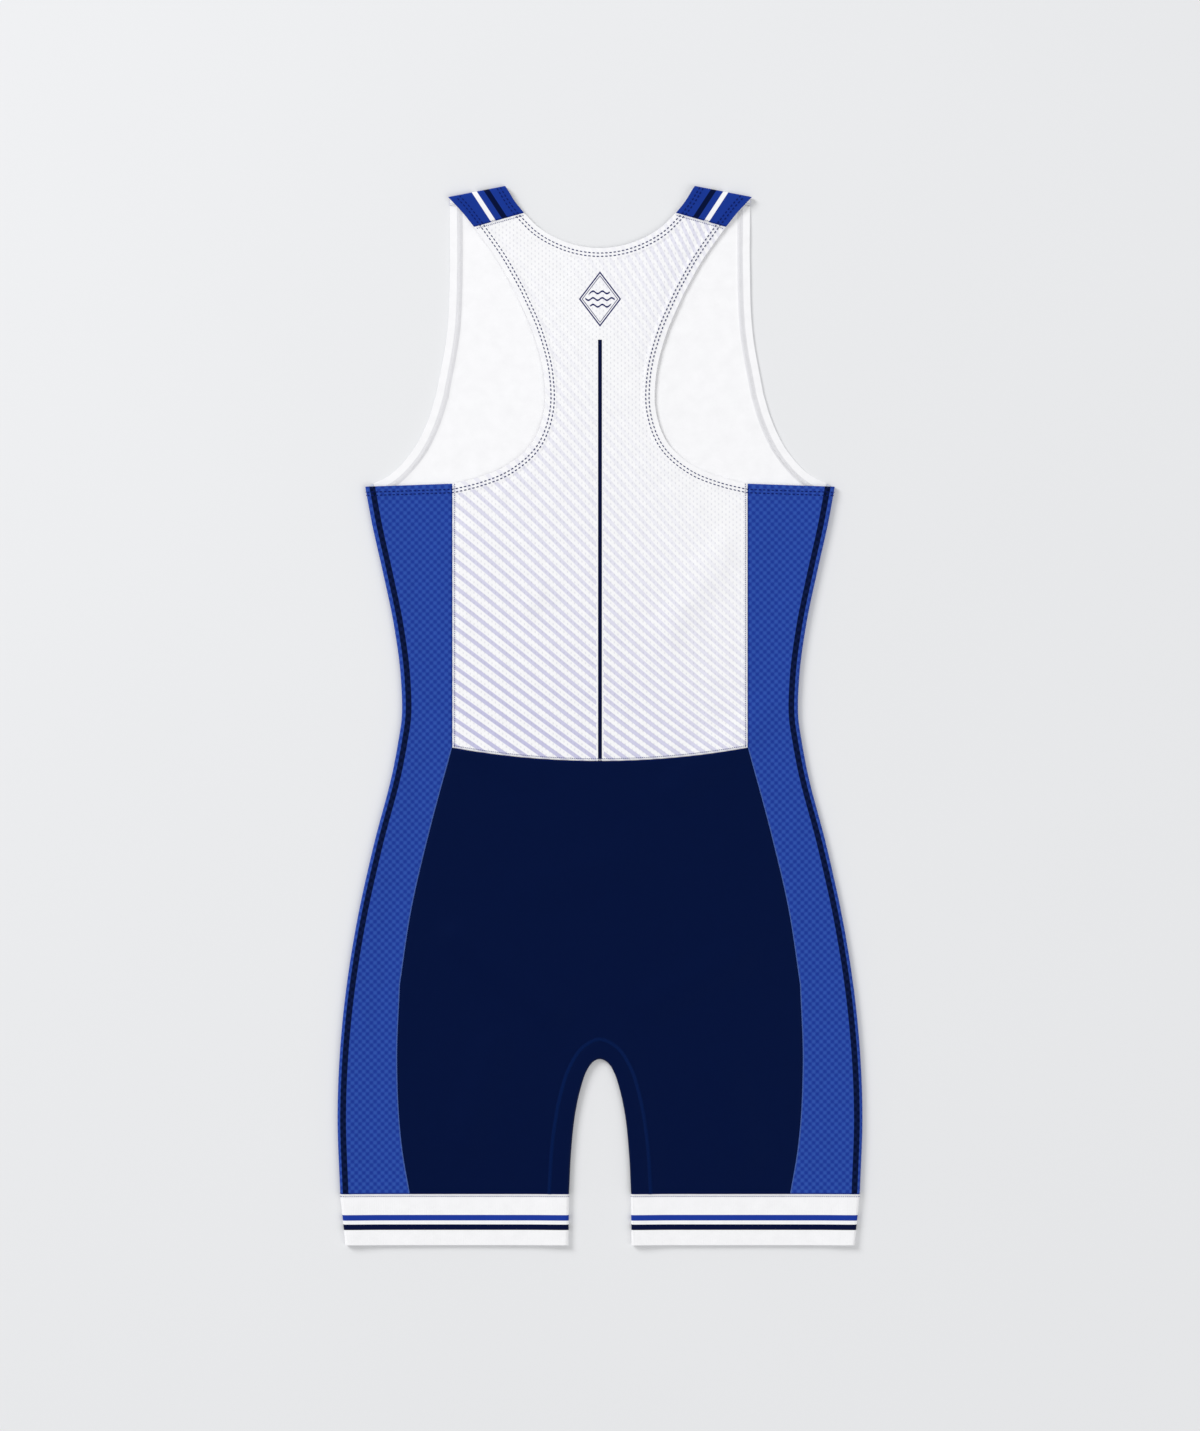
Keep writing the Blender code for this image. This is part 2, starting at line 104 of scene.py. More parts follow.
# %% Seams, folds and edges, each from its lowest place upwards
CHART = {
    "side fold below the waist": [
        Place(234, BAND_HEIGHT),
        Place(236.4, 118),
        Place(231.5, 206),
        Place(219.6, 288),
        Place(203.9, 360),
        Place(186, 430),
        WAIST_FOLD,
    ],
    "side fold above the waist": [
        WAIST_FOLD,
        Place(178.6, 475),
        Place(179.2, 508),
        Place(185.4, 557),
        Place(196, 608),
        Place(205.4, 650),
        UNDERARM_FOLD,
    ],
    "thigh seam": [Place(171, BAND_HEIGHT), Place(177.8, 86), Place(182.5, 165), HIP],
    "hip seam": [HIP, Place(169.7, 302), Place(153.5, 372), WAIST_SIDE],
    "back side seam": [WAIST_SIDE, BACK_UNDERARM],
    "front side seam": [
        WAIST_SIDE,
        Place(137, 510),
        Place(160, 585),
        Place(188, 645),
        FRONT_UNDERARM,
    ],
    "back armhole": [
        BACK_UNDERARM,
        Place(110.7, 691.2),
        Place(84.2, 702),
        Place(60.3, 723.6),
        Place(50.2, 752),
        Place(50.4, 782),
        Place(59.9, 820.8),
        BACK_SHOULDER_BLADE,
    ],
    "back armhole top": [BACK_SHOULDER_BLADE, Place(91.4, 885.6), STRAP_OUTER],
    "back neckline": [
        Place(0, BACK_NECK_HEIGHT),
        Place(16.4, 899.5),
        Place(36, 905.6),
        Place(55, 916.6),
        STRAP_INNER,
    ],
    "front armhole": [
        FRONT_UNDERARM,
        Place(193, 691.2),
        Place(170.6, 712.8),
        Place(153.9, 745),
        FRONT_CHEST,
    ],
    "front armhole top": [
        FRONT_CHEST,
        Place(137.7, 820.8),
        Place(135, 885.6),
        FRONT_STRAP_OUTER,
    ],
    "front neckline": [
        Place(0, FRONT_NECK_HEIGHT),
        Place(28, 818),
        Place(54, 838),
        Place(68, 876),
        Place(75.5, 915),
        FRONT_STRAP_INNER,
    ],
    "strap neck edge": [STRAP_INNER, Place(76.5, 939.6), SHOULDER_INNER],
    "strap arm edge": [STRAP_OUTER, Place(124.2, 930.5), SHOULDER_OUTER],
    "shoulder fold": [SHOULDER_INNER, SHOULDER_OUTER],
    "strap seam": [STRAP_INNER, STRAP_OUTER],
    "front strap seam": [FRONT_STRAP_INNER, FRONT_STRAP_OUTER],
    "crotch fold": [
        Place(27.9, BAND_HEIGHT),
        Place(26, 84),
        Place(21.8, 121.5),
        Place(17.2, 142),
        Place(12.9, 155),
        Place(9.2, 161.7),
        Place(4.9, 166),
        Place(0, 167.5),
    ],
    "gusset seam": [
        Place(45.9, BAND_HEIGHT),
        Place(42, 99),
        Place(35.6, 135),
        Place(27.5, 160),
        Place(15, 178.5),
        Place(0, 185.4),
    ],
    "band outer fold": [Place(229.3, 0), Place(234, BAND_HEIGHT)],
    "band inner fold": [Place(28.4, 0), Place(27.9, BAND_HEIGHT)],
    "band seam": [Place(27.9, BAND_HEIGHT), Place(234, BAND_HEIGHT)],
    "underarm hem": [UNDERARM_FOLD, BACK_UNDERARM],
}

# %% [markdown]
# ## Curves
# `curve` runs a smooth line through the places of one row of the chart. At each place it takes the
# slope between its neighbours, and each stretch is a cubic that starts and ends on those slopes.
# Where a line meets the centre line it is level, so the neck and the crotch are round and not
# pointed.
#
# NumPy works out a whole line at once, which matters here, because the shells have many thousands
# of points.

# %% Lines of the chart
SPAN_STEPS = 14


def unit(vectors):
    return vectors / np.linalg.norm(vectors, axis=-1, keepdims=True)


def curve(name):
    """Points along the smooth line of one row of the chart."""
    knots = np.array(CHART[name], dtype=float)
    steps = np.diff(knots, axis=0)
    spans = np.linalg.norm(steps, axis=1)
    runs = steps / spans[:, None]
    slopes = [runs[0]]
    for before, after, span, next_span in zip(runs, runs[1:], spans, spans[1:]):
        slopes.append((before * next_span + after * span) / (span + next_span))
    slopes.append(runs[-1])
    for end in (0, -1):
        if knots[end, 0] == 0:
            slopes[end] = np.array([np.sign(runs[end, 0]), 0.0])
    t = np.linspace(0, 1, SPAN_STEPS, endpoint=False)[:, None]
    points = []
    for start, end, span, leave, reach in zip(knots, knots[1:], spans, slopes, slopes[1:]):
        along = start * (2 * t**3 - 3 * t**2 + 1) + end * (3 * t**2 - 2 * t**3)
        lean = leave * (t**3 - 2 * t**2 + t) + reach * (t**3 - t**2)
        points.append(along + lean * span)
    return np.vstack(points + [knots[-1:]])


def end_to_end(*lines):
    """Lines joined, without the point that each two share."""
    return np.vstack([lines[0]] + [line[1:] for line in lines[1:]])


def joined(*names):
    """Several rows of the chart as one line."""
    return end_to_end(*(curve(name) for name in names))


def lengths(line):
    """Distance from a line's start to each of its points."""
    return np.concatenate([[0], np.cumsum(np.linalg.norm(np.diff(line, axis=0), axis=1))])


def at_shares(line, shares):
    """Points at given shares of a line's length, from 0 to 1."""
    reached = lengths(line)
    goals = np.asarray(shares) * reached[-1]
    return np.stack([np.interp(goals, reached, line[:, axis]) for axis in (0, 1)], axis=1)


def leftward(directions):
    """The way to the left of each direction."""
    return np.stack([-directions[..., 1], directions[..., 0]], axis=-1)


def beside(line, shift):
    """A line moved to its left, or to its right where the shift is negative."""
    return line + leftward(unit(np.gradient(line, axis=0))) * shift


def longer(line, before, after):
    """A line carried on straight past its start and its end."""
    first = line[0] + unit(line[0] - line[1]) * before
    last = line[-1] + unit(line[-1] - line[-2]) * after
    return np.vstack([first, line, last])


def foot(points, line):
    """How far points are from a line, and how far to its left, with the way left there."""
    nearest = np.full(points.shape[:-1], np.inf)
    to_left = np.zeros(points.shape[:-1])
    way = np.zeros(points.shape)
    for start, end in zip(line, line[1:]):
        step = end - start
        share = np.clip(((points - start) @ step) / (step @ step), 0, 1)
        gap = points - start - share[..., None] * step
        away = np.linalg.norm(gap, axis=-1)
        left = leftward(unit(step))
        nearer = away < nearest
        nearest = np.where(nearer, away, nearest)
        to_left = np.where(nearer, gap @ left, to_left)
        way = np.where(nearer[..., None], left, way)
    return nearest, to_left, way


def smooth(share):
    """0 below 0, 1 above 1, and an even S between."""
    share = np.clip(share, 0, 1)
    return share * share * (3 - 2 * share)


def mirrored(points):
    """Points of the left half taken over to the right half, where the chart is."""
    return np.stack([np.abs(points[..., 0]), points[..., 1]], axis=-1)


neck_length = lengths(curve("back neckline"))[-1]
print(f"half of the back neckline is {neck_length:.0f} mm long")

# %% [markdown]
# ## How the cloth lies
# A suit that is laid flat is two layers, a few millimetres high at the folds along its sides and
# lower in the middle. Heights come from functions of the place on the chart, not from a
# simulation: the cloth lies still and smooth, and the pieces have to meet along their seams, which
# they do by themselves when all of them read the same function.
#
# The solids are 1.2 mm thick. The shells keep the solids' outer faces, but are as thin as a real
# knit, and they add what a rigid wall leaves out: edges that settle onto the layer below, a dip
# along each seam, faint puckers beside the sewing, and soft ridges of slack cloth.

# %% Sizes of the cloth, in millimetres
SOLID_CLOTH = 1.2
KNIT = 0.7
LAYER_GAP = 1.0
FOLD_HOLLOW = 2.6
FOLD_RADIUS = SOLID_CLOTH + FOLD_HOLLOW / 2
FOLD_REACH = 34.0
HEM_WIDTH = 10.0
HEM_EASE = 1.2
HEM_LIFT = 0.45
EDGE_SETTLE = 0.9
EDGE_REACH = 22.0
SEAM_GAP = 0.16
SEAM_DIP = 0.3
SEAM_REACH = 2.6
PUCKER = 0.2
PUCKER_REACH = 12.0
PUCKER_WAVE = 11.0
SLACK = 0.6
SLACK_WAVE = 85.0
PUCKER_SEED = 3.0
FRONT_SEED = 5.0
SLACK_SEED = 8.0

Crease = namedtuple("Crease", "x0 height0 x1 height1 spread lift")
CREASES = [
    Crease(-44, 212, -128, 276, 24, 1.8),
    Crease(48, 218, 120, 258, 26, 1.5),
    Crease(-150, 462, -66, 424, 22, 1.3),
    Crease(148, 478, 70, 410, 25, 1.6),
    Crease(-60, 322, 24, 350, 30, 1.1),
    Crease(-120, 640, -62, 584, 26, 1.5),
    Crease(112, 628, 60, 552, 24, 1.3),
    Crease(-120, 96, -96, 178, 24, 1.4),
    Crease(134, 84, 112, 160, 24, 1.2),
]

# %% Lines that the cloth follows
SIDE_FOLD = joined("band outer fold", "side fold below the waist", "side fold above the waist")
INNER_FOLD = joined("band inner fold", "crotch fold")
SHOULDER_FOLD = curve("shoulder fold")
FOLDS = [SIDE_FOLD, INNER_FOLD, SHOULDER_FOLD]
BACK_HEMS = [
    joined("back neckline", "strap neck edge"),
    joined("underarm hem", "back armhole", "back armhole top", "strap arm edge"),
]
FRONT_HEMS = [
    curve("front neckline"),
    joined("front armhole", "front armhole top"),
]
WAIST_STEPS = 24
waist_across = np.linspace(0, WAIST_SIDE.across, WAIST_STEPS)
waist_rise = (waist_across / WAIST_SIDE.across) ** 2 * (WAIST_SIDE.height - WAIST_HEIGHT)
WAIST_SEAM = np.stack([waist_across, WAIST_HEIGHT + waist_rise], axis=1)
BACK_SEAMS = [
    joined("thigh seam", "hip seam", "back side seam"),
    WAIST_SEAM,
    curve("band seam"),
    curve("strap seam"),
    curve("gusset seam"),
]


# %% Heights of the two layers
def nearest_of(points, lines):
    """How far each point is from the nearest of several lines."""
    return np.min([foot(mirrored(points), line)[0] for line in lines], axis=0)


def flatness(points):
    """0 at a fold, 1 where the cloth lies flat."""
    return smooth((nearest_of(points, FOLDS) - FOLD_RADIUS) / FOLD_REACH)


def crease_rise(points):
    """Height of the soft ridges of slack cloth."""
    rise = np.zeros(points.shape[:-1])
    for crease in CREASES:
        ridge = np.array([(crease.x0, crease.height0), (crease.x1, crease.height1)])
        rise += crease.lift * (1 - smooth(foot(points, ridge)[0] / crease.spread))
    return rise


def wandering(points, wave, seed):
    """A slow, uneven rise and fall between -1 and 1."""
    values = [noise.noise(Vector((x, y, seed))) for x, y in points.reshape(-1, 2) / wave]
    return np.array(values).reshape(points.shape[:-1])


def seam_dip(points):
    """Depth of the groove along each seam."""
    return SEAM_DIP * (1 - smooth(nearest_of(points, BACK_SEAMS) / SEAM_REACH))


def back_outer(points):
    """Height of the back layer's outer face."""
    flat = flatness(points)
    hollow = FOLD_HOLLOW + (LAYER_GAP - FOLD_HOLLOW) * flat
    edge = nearest_of(points, BACK_HEMS)
    hem = HEM_LIFT * (1 - smooth((edge - HEM_WIDTH) / HEM_EASE))
    settle = EDGE_SETTLE * (1 - smooth(edge / EDGE_REACH))
    sewn = np.exp(-np.minimum(nearest_of(points, BACK_SEAMS), edge) / PUCKER_REACH)
    pucker = PUCKER * sewn * wandering(points, PUCKER_WAVE, PUCKER_SEED)
    slack = SLACK * wandering(points, SLACK_WAVE, SLACK_SEED)
    lying = crease_rise(points) + hem - settle + pucker + slack
    return 2 * SOLID_CLOTH + hollow + flat * lying - seam_dip(points)


def front_inner(points):
    """Height of the front layer's inner face. Its outer face lies on the table, at zero."""
    hem = HEM_LIFT * (1 - smooth((nearest_of(points, FRONT_HEMS) - HEM_WIDTH) / HEM_EASE))
    slack = PUCKER * (1 + wandering(points, PUCKER_WAVE * 2, FRONT_SEED))
    return KNIT + flatness(points) * (hem + slack)


centre_places = np.array([[0.0, 500.0], [0.0, 300.0]])
print("the back layer lies", np.round(back_outer(centre_places), 2), "mm high in the middle")

# %% [markdown]
# ## Sheets
# A sheet is a grid of points: rows up the suit, columns across it. Every point carries three
# things: its place on the outer face, its place on the inner face, and its place on the chart as
# the cloth was before it was folded. The materials read that last one, so a stripe or a mesh runs
# round a fold without being squeezed. Its third number is how far the point is in from the hem, or
# on the side panels from the fold.
#
# `stops` sets the spacing. Cloth bends sharply only beside a seam or hem, so the columns are close
# together there and wider apart elsewhere.

# %% Spacing of rows and columns
FINE = 3.4
CLOSE_STOPS = (0.0, 0.8, 1.8, 3.2)
HEM_STOPS = (0.0, 1.0, 3.0, 6.0, 8.8, 10.0, 10.6, 11.4, 13.5)
PLAIN_STOPS = (0.0,)
WAIST_CURVE_REACH = 90.0
HALF_GAP = SEAM_GAP / 2

Sheet = namedtuple("Sheet", "outer inner chart")


def stops(width, count, start=PLAIN_STOPS, end=PLAIN_STOPS):
    """Shares of a width, from 0 to 1: set stops at each end and even ones between them."""
    first = np.array(start) / width
    last = 1 - np.array(end)[::-1] / width
    between = np.linspace(first[-1], last[0], count + 2)[1:-1]
    return np.concatenate([first, between, last])


def share_out(start, end, shares):
    """Points from each start to each end, as a grid."""
    return start[:, None] + (end - start)[:, None] * shares[..., None]


def across(inner, outer, start, end):
    """The grid of half a panel, between its inner and outer edges.

    Near the waist the rows curve as the waist seam does.
    """
    widths = np.linalg.norm(outer - inner, axis=1)
    count = int(np.median(widths) / FINE)
    shares = np.array([stops(width, count, start, end) for width in widths])
    grid = share_out(inner, outer, shares)
    near_waist = 1 - smooth(np.abs(inner[:, 1] - WAIST_HEIGHT) / WAIST_CURVE_REACH)
    rise = (outer - inner)[:, 1] * near_waist
    grid[..., 1] += rise[:, None] * (shares**2 - shares)
    return grid


def stacked(points, heights):
    """Points with a third number."""
    return np.concatenate([points, np.asarray(heights)[..., None]], axis=-1)


def back_sheet(points):
    """A sheet of the back layer over a grid of places."""
    top = back_outer(points)
    chart = stacked(points, nearest_of(points, BACK_HEMS))
    return Sheet(stacked(points, top), stacked(points, top - KNIT), chart)


def front_sheet(points):
    """A sheet of the front layer, whose outer face lies on the table."""
    chart = stacked(points, nearest_of(points, FRONT_HEMS))
    table = np.zeros(points.shape[:-1])
    return Sheet(stacked(points, table), stacked(points, front_inner(points)), chart)


def both_sides(points):
    """A grid of the right half, and its mirror image, both with their columns to the right."""
    return [points, points[:, ::-1] * np.array([-1, 1])]


# %% [markdown]
# ## Folds
# Where a piece wraps round a side, an inseam or a shoulder, its section runs over the back layer,
# round a half circle and back under along the front layer. The outer face turns on the full
# radius and the inner face on that radius less the thickness, which keeps the wall even.

# %% Sections round a fold
FOLD_STEPS = 12
QUARTER_TURN = math.pi / 2
HALF_TURN = math.pi
TURN = 2 * math.pi


def bend(turn, outward):
    """The half circle of a fold, as a sheet, without its two ends."""
    angles = HALF_TURN * np.arange(1, FOLD_STEPS) / FOLD_STEPS
    dip = seam_dip(turn)[:, None] * (1 + np.cos(angles)) / 2
    faces = []
    for radius in (FOLD_RADIUS - dip, FOLD_RADIUS - dip - KNIT):
        reach = radius * np.sin(angles)
        places = turn[:, None] + outward[:, None] * reach[..., None]
        faces.append(stacked(places, FOLD_RADIUS + radius * np.cos(angles)))
    unrolled = turn[:, None] + outward[:, None] * (FOLD_RADIUS * angles)[None, :, None]
    from_fold = np.broadcast_to(np.abs(angles - QUARTER_TURN) * FOLD_RADIUS, unrolled.shape[:2])
    return Sheet(faces[0], faces[1], stacked(unrolled, from_fold))


def side_by_side(*sheets):
    """Sheets joined across, so that their columns follow each other."""
    return Sheet(*(np.concatenate(faces, axis=1) for faces in zip(*sheets)))


def unfolded(sheet, turn, outward):
    """A front sheet with its chart unrolled, past the fold, along the section."""
    back_in = np.sum((turn[:, None] - sheet.chart[..., :2]) * outward[:, None], axis=-1)
    opened = turn[:, None] + outward[:, None] * (back_in + HALF_TURN * FOLD_RADIUS)[..., None]
    return sheet._replace(chart=stacked(opened, back_in + QUARTER_TURN * FOLD_RADIUS))


def wrap(back_seam, fold, front_seam, back_shares, front_shares):
    """The sheet of a piece that runs over a fold, from its back seam to its front one."""
    outward = unit(fold - back_seam)
    turn = fold - outward * FOLD_RADIUS
    back = back_sheet(share_out(back_seam, turn, back_shares))
    to_turn = np.sum((turn[:, None] - back.chart[..., :2]) * outward[:, None], axis=-1)
    from_fold = to_turn + QUARTER_TURN * FOLD_RADIUS
    back = back._replace(chart=stacked(back.chart[..., :2], from_fold))
    front = front_sheet(share_out(turn, front_seam, front_shares))
    return side_by_side(back, bend(turn, outward), unfolded(front, turn, outward))


# %% [markdown]
# ## From sheets to cloth
# `cloth` turns sheets into one closed shell: an outer face, an inner face and a rim between them.
# Sheets that share points, such as the two halves of a panel along the centre line, are welded by
# giving equal places one number. The inner face gets a material of its own, because these suits
# are printed on one side only.
#
# A small bevel rounds the rim, as the turned edge of a knit is round.

# %% Make a shell
WELD_DIGITS = 5
RIM_ROUND = 0.2
SHARP_ANGLE = math.radians(55)
cut_sizes = {}


def quads_of(numbers):
    """The faces of a grid of vertex numbers."""
    return np.stack(
        [numbers[:-1, :-1], numbers[:-1, 1:], numbers[1:, 1:], numbers[1:, :-1]], axis=-1
    ).reshape(-1, 4)


def cut_area(sheets):
    """Area of the cloth, in square millimetres."""
    area = 0.0
    for sheet in sheets:
        one_way = sheet.outer[1:, 1:] - sheet.outer[:-1, :-1]
        other_way = sheet.outer[1:, :-1] - sheet.outer[:-1, 1:]
        area += np.linalg.norm(np.cross(one_way, other_way), axis=-1).sum() / 2
    return area


def cut_sides(sheets):
    """Width and length of the rectangle that the cut cloth fits in."""
    flat = np.vstack([sheet.chart[..., :2].reshape(-1, 2) for sheet in sheets])
    return flat.max(axis=0) - flat.min(axis=0)


def on_table(points):
    """Places of the chart as places in the scene, in metres."""
    return (points - np.array([0, MIDDLE, 0])) * MM


def face_out(data):
    """Turn all the faces of a closed mesh outwards."""
    shape = bmesh.new()
    shape.from_mesh(data)
    bmesh.ops.recalc_face_normals(shape, faces=shape.faces)
    shape.to_mesh(data)
    shape.free()


def placed(name, data):
    """An object for a mesh."""
    piece = bpy.data.objects.new(name, data)
    bpy.context.collection.objects.link(piece)
    return piece


def cloth(name, sheets, outside, inside, closed=False):
    """A closed shell from sheets, with one material outside and one inside."""
    numbers, outer, inner, chart, faces = {}, [], [], [], []
    for sheet in sheets:
        grid = np.empty(sheet.outer.shape[:2], dtype=int)
        keys = np.round(sheet.outer, WELD_DIGITS) + 0.0
        for place in np.ndindex(grid.shape):
            key = tuple(keys[place])
            if key not in numbers:
                numbers[key] = len(outer)
                outer.append(sheet.outer[place])
                inner.append(sheet.inner[place])
                chart.append(sheet.chart[place])
            grid[place] = numbers[key]
        if closed:
            grid = np.concatenate([grid, grid[:, :1]], axis=1)
        faces.append(quads_of(grid))
    skin = np.vstack(faces)
    edges = np.concatenate([skin[:, [side, (side + 1) % 4]] for side in range(4)]).tolist()
    known = set(map(tuple, edges))
    rim = np.array([edge for edge in edges if (edge[1], edge[0]) not in known])
    count = len(outer)
    strip = np.stack([rim[:, 1], rim[:, 0], rim[:, 0] + count, rim[:, 1] + count], axis=1)
    every = np.vstack([skin, strip, skin[:, ::-1] + count])
    data = bpy.data.meshes.new(name)
    data.from_pydata(on_table(np.array(outer + inner)).tolist(), [], every.tolist())
    slots = np.zeros(len(every), dtype=np.int32)
    slots[len(skin) + len(strip):] = 1
    data.polygons.foreach_set("material_index", slots)
    charted = data.attributes.new("chart", "FLOAT_VECTOR", "POINT")
    charted.data.foreach_set("vector", on_table(np.array(chart + chart)).ravel())
    face_out(data)
    data.shade_smooth()
    data.set_sharp_from_angle(angle=SHARP_ANGLE)
    data.materials.append(outside)
    data.materials.append(inside)
    piece = placed(name, data)
    rounding = piece.modifiers.new("Rounded rim", "BEVEL")
    rounding.width = RIM_ROUND * MM
    rounding.segments = 2
    rounding.limit_method = "ANGLE"
    rounding.angle_limit = SHARP_ANGLE
    width, length = cut_sides(sheets) * MM
    cut_sizes[name] = (width, length, cut_area(sheets) * MM * MM)
    print(f"{name}: {len(every)} faces, cut {width:.3f} x {length:.3f} m")
    return piece


# %% [markdown]
# ## Shader tools
# The chart attribute gives every material two numbers for its patterns, across and along, and a
# third, the distance in from the hem or fold. `Shade` writes the arithmetic of a pattern as short
# calls, each of which adds one node. Patterns that several cloths share are node groups.

# %% Colours and node helpers
FULL = 255
KNEE = 0.04045
DARK_SLOPE = 12.92
OFFSET = 0.055
GAMMA = 2.4


def light(*channels):
    """Red, green and blue on a screen, from 0 to 255, as amounts of light."""
    amounts = []
    for channel in channels:
        value = channel / FULL
        bright = ((value + OFFSET) / (1 + OFFSET)) ** GAMMA
        amounts.append(value / DARK_SLOPE if value <= KNEE else bright)
    return (*amounts, 1.0)


WHITE = light(250, 250, 252)
LAVENDER = light(198, 197, 227)
ROYAL = light(24, 54, 146)
BAND_BLUE = light(27, 57, 156)
NAVY = light(1, 11, 52)
print("navy on a screen is this much light:", np.round(NAVY[:3], 4))

# A Mix node has places for numbers, for vectors and for colours. These are the ones for colours.
MIX_COLOURS = (6, 7)
MIX_RESULT = 2


class Shade:
    """Adds nodes to one node tree, a call for each."""

    def __init__(self, tree):
        self.tree = tree

    def put(self, kind, **settings):
        node = self.tree.nodes.new(kind)
        for name, value in settings.items():
            setattr(node, name, value)
        return node

    def feed(self, socket, value):
        if isinstance(value, bpy.types.NodeSocket):
            self.tree.links.new(value, socket)
        else:
            socket.default_value = value

    def math(self, operation, *values):
        node = self.put("ShaderNodeMath", operation=operation)
        for socket, value in zip(node.inputs, values):
            self.feed(socket, value)
        return node.outputs[0]

    def times(self, *values):
        return reduce(lambda result, value: self.math("MULTIPLY", result, value), values)

    def total(self, *values):
        return reduce(lambda result, value: self.math("ADD", result, value), values)

    def less(self, first, second):
        return self.math("SUBTRACT", first, second)

    def step(self, value, low, high):
        """0 below low, 1 above high, and an even S between."""
        node = self.put("ShaderNodeMapRange", interpolation_type="SMOOTHSTEP")
        self.feed(node.inputs["Value"], value)
        self.feed(node.inputs["From Min"], low)
        self.feed(node.inputs["From Max"], high)
        return node.outputs["Result"]

    def band(self, value, centre, half_width, soft):
        """1 within half a width of the centre, 0 outside, with soft edges."""
        away = self.math("ABSOLUTE", self.less(value, centre))
        edge = self.step(away, self.less(half_width, soft), self.total(half_width, soft))
        return self.less(1.0, edge)

    def mix(self, share, first, second):
        """The first colour at 0 and the second at 1."""
        node = self.put("ShaderNodeMix", data_type="RGBA")
        self.feed(node.inputs["Factor"], share)
        for place, colour in zip(MIX_COLOURS, (first, second)):
            self.feed(node.inputs[place], colour)
        return node.outputs[MIX_RESULT]

    def noise(self, vector, scale, detail):
        node = self.put("ShaderNodeTexNoise")
        self.feed(node.inputs["Vector"], vector)
        self.feed(node.inputs["Scale"], scale)
        self.feed(node.inputs["Detail"], detail)
        return node.outputs["Fac"]

    def group(self, tree, **values):
        node = self.put("ShaderNodeGroup", node_tree=tree)
        for label, value in values.items():
            self.feed(node.inputs[label.replace("_", " ")], value)
        return node.outputs


def new_group(name, inputs, outputs):
    """A node group with named inputs, each with its value, and named outputs."""
    tree = bpy.data.node_groups.new(name, "ShaderNodeTree")
    for label, value in inputs.items():
        socket = tree.interface.new_socket(label, in_out="INPUT", socket_type="NodeSocketFloat")
        socket.default_value = value
    for label in outputs:
        tree.interface.new_socket(label, in_out="OUTPUT", socket_type="NodeSocketFloat")
    shade = Shade(tree)
    enter = shade.put("NodeGroupInput")
    leave = shade.put("NodeGroupOutput")
    return shade, enter.outputs, leave.inputs


# %% [markdown]
# ### Knit
# Jersey is rows of small loops. From arm's length it reads as fine vertical ribs broken into short
# strokes. The group below makes columns less than a millimetre apart and sways them by turns, like
# the two legs of each loop. It puts out a height for the bump and a slow mottle for the colour.

# %% The knit group
KNIT_GAUGE = 0.75
LOOP_HEIGHT = 0.8
LOOP_SWAY = 0.16
RIB_SHARE = 0.5
STROKE_SHARE = 0.25
MOTTLE_SCALE = 0.09
MOTTLE_DETAIL = 4.0


def knit_group():
    inputs = {"Across": 0.0, "Along": 0.0, "Gauge": KNIT_GAUGE}
    shade, given, made = new_group("knit_loops", inputs, ["Height", "Mottle"])
    loop = shade.math("DIVIDE", given["Along"], shade.times(given["Gauge"], LOOP_HEIGHT))
    column = shade.math("DIVIDE", given["Across"], given["Gauge"])
    sway = shade.times(shade.math("SINE", shade.times(loop, TURN)), LOOP_SWAY)
    rib = shade.math("COSINE", shade.times(shade.total(column, sway), TURN))
    stroke = shade.math("COSINE", shade.times(loop, TURN))
    place = shade.put("ShaderNodeCombineXYZ")
    shade.feed(place.inputs[0], given["Across"])
    shade.feed(place.inputs[1], given["Along"])
    height = shade.total(shade.times(rib, RIB_SHARE), shade.times(stroke, STROKE_SHARE))
    shade.feed(made["Height"], height)
    shade.feed(made["Mottle"], shade.noise(place.outputs[0], MOTTLE_SCALE, MOTTLE_DETAIL))
    return shade.tree


KNIT_GROUP = knit_group()
print("knit_loops:", len(KNIT_GROUP.nodes), "nodes")

# %% [markdown]
# ### Mesh
# Sports mesh has holes in staggered rows. `staggered_dots` multiplies a wave across by a wave
# along: the product peaks at the middle of every other square, like the black squares of a
# chessboard. A threshold turns the peaks into round dots of any size.
#
# The holes of the white mesh are taller than wide, so `eyelets` measures the way from the nearest
# middle instead. Every second column is moved up by half a row. The cloths darken their holes with
# painted shade, the shadow seen through them.

# %% The mesh group
DOT_SOFTNESS = 0.1
EYELET_COLUMN = 3.24
EYELET_ROW = 4.7
EYELET_HALF_WIDTH = 0.52
EYELET_HALF_HEIGHT = 1.05
EYELET_INSIDE = 0.75
EYELET_OUTSIDE = 1.25


def dots_group():
    inputs = {"Across": 0.0, "Along": 0.0, "Column pitch": 1.0, "Row pitch": 1.0, "Size": 0.5}
    shade, given, made = new_group("staggered_dots", inputs, ["Dots", "Wave"])
    columns = shade.math("DIVIDE", given["Across"], given["Column pitch"])
    rows = shade.math("DIVIDE", given["Along"], given["Row pitch"])
    wave_across = shade.math("COSINE", shade.times(columns, HALF_TURN))
    wave_along = shade.math("COSINE", shade.times(rows, TURN))
    wave = shade.times(wave_across, wave_along)
    edge = shade.less(1.0, given["Size"])
    low, high = shade.less(edge, DOT_SOFTNESS), shade.total(edge, DOT_SOFTNESS)
    shade.feed(made["Dots"], shade.step(wave, low, high))
    shade.feed(made["Wave"], wave)
    return shade.tree


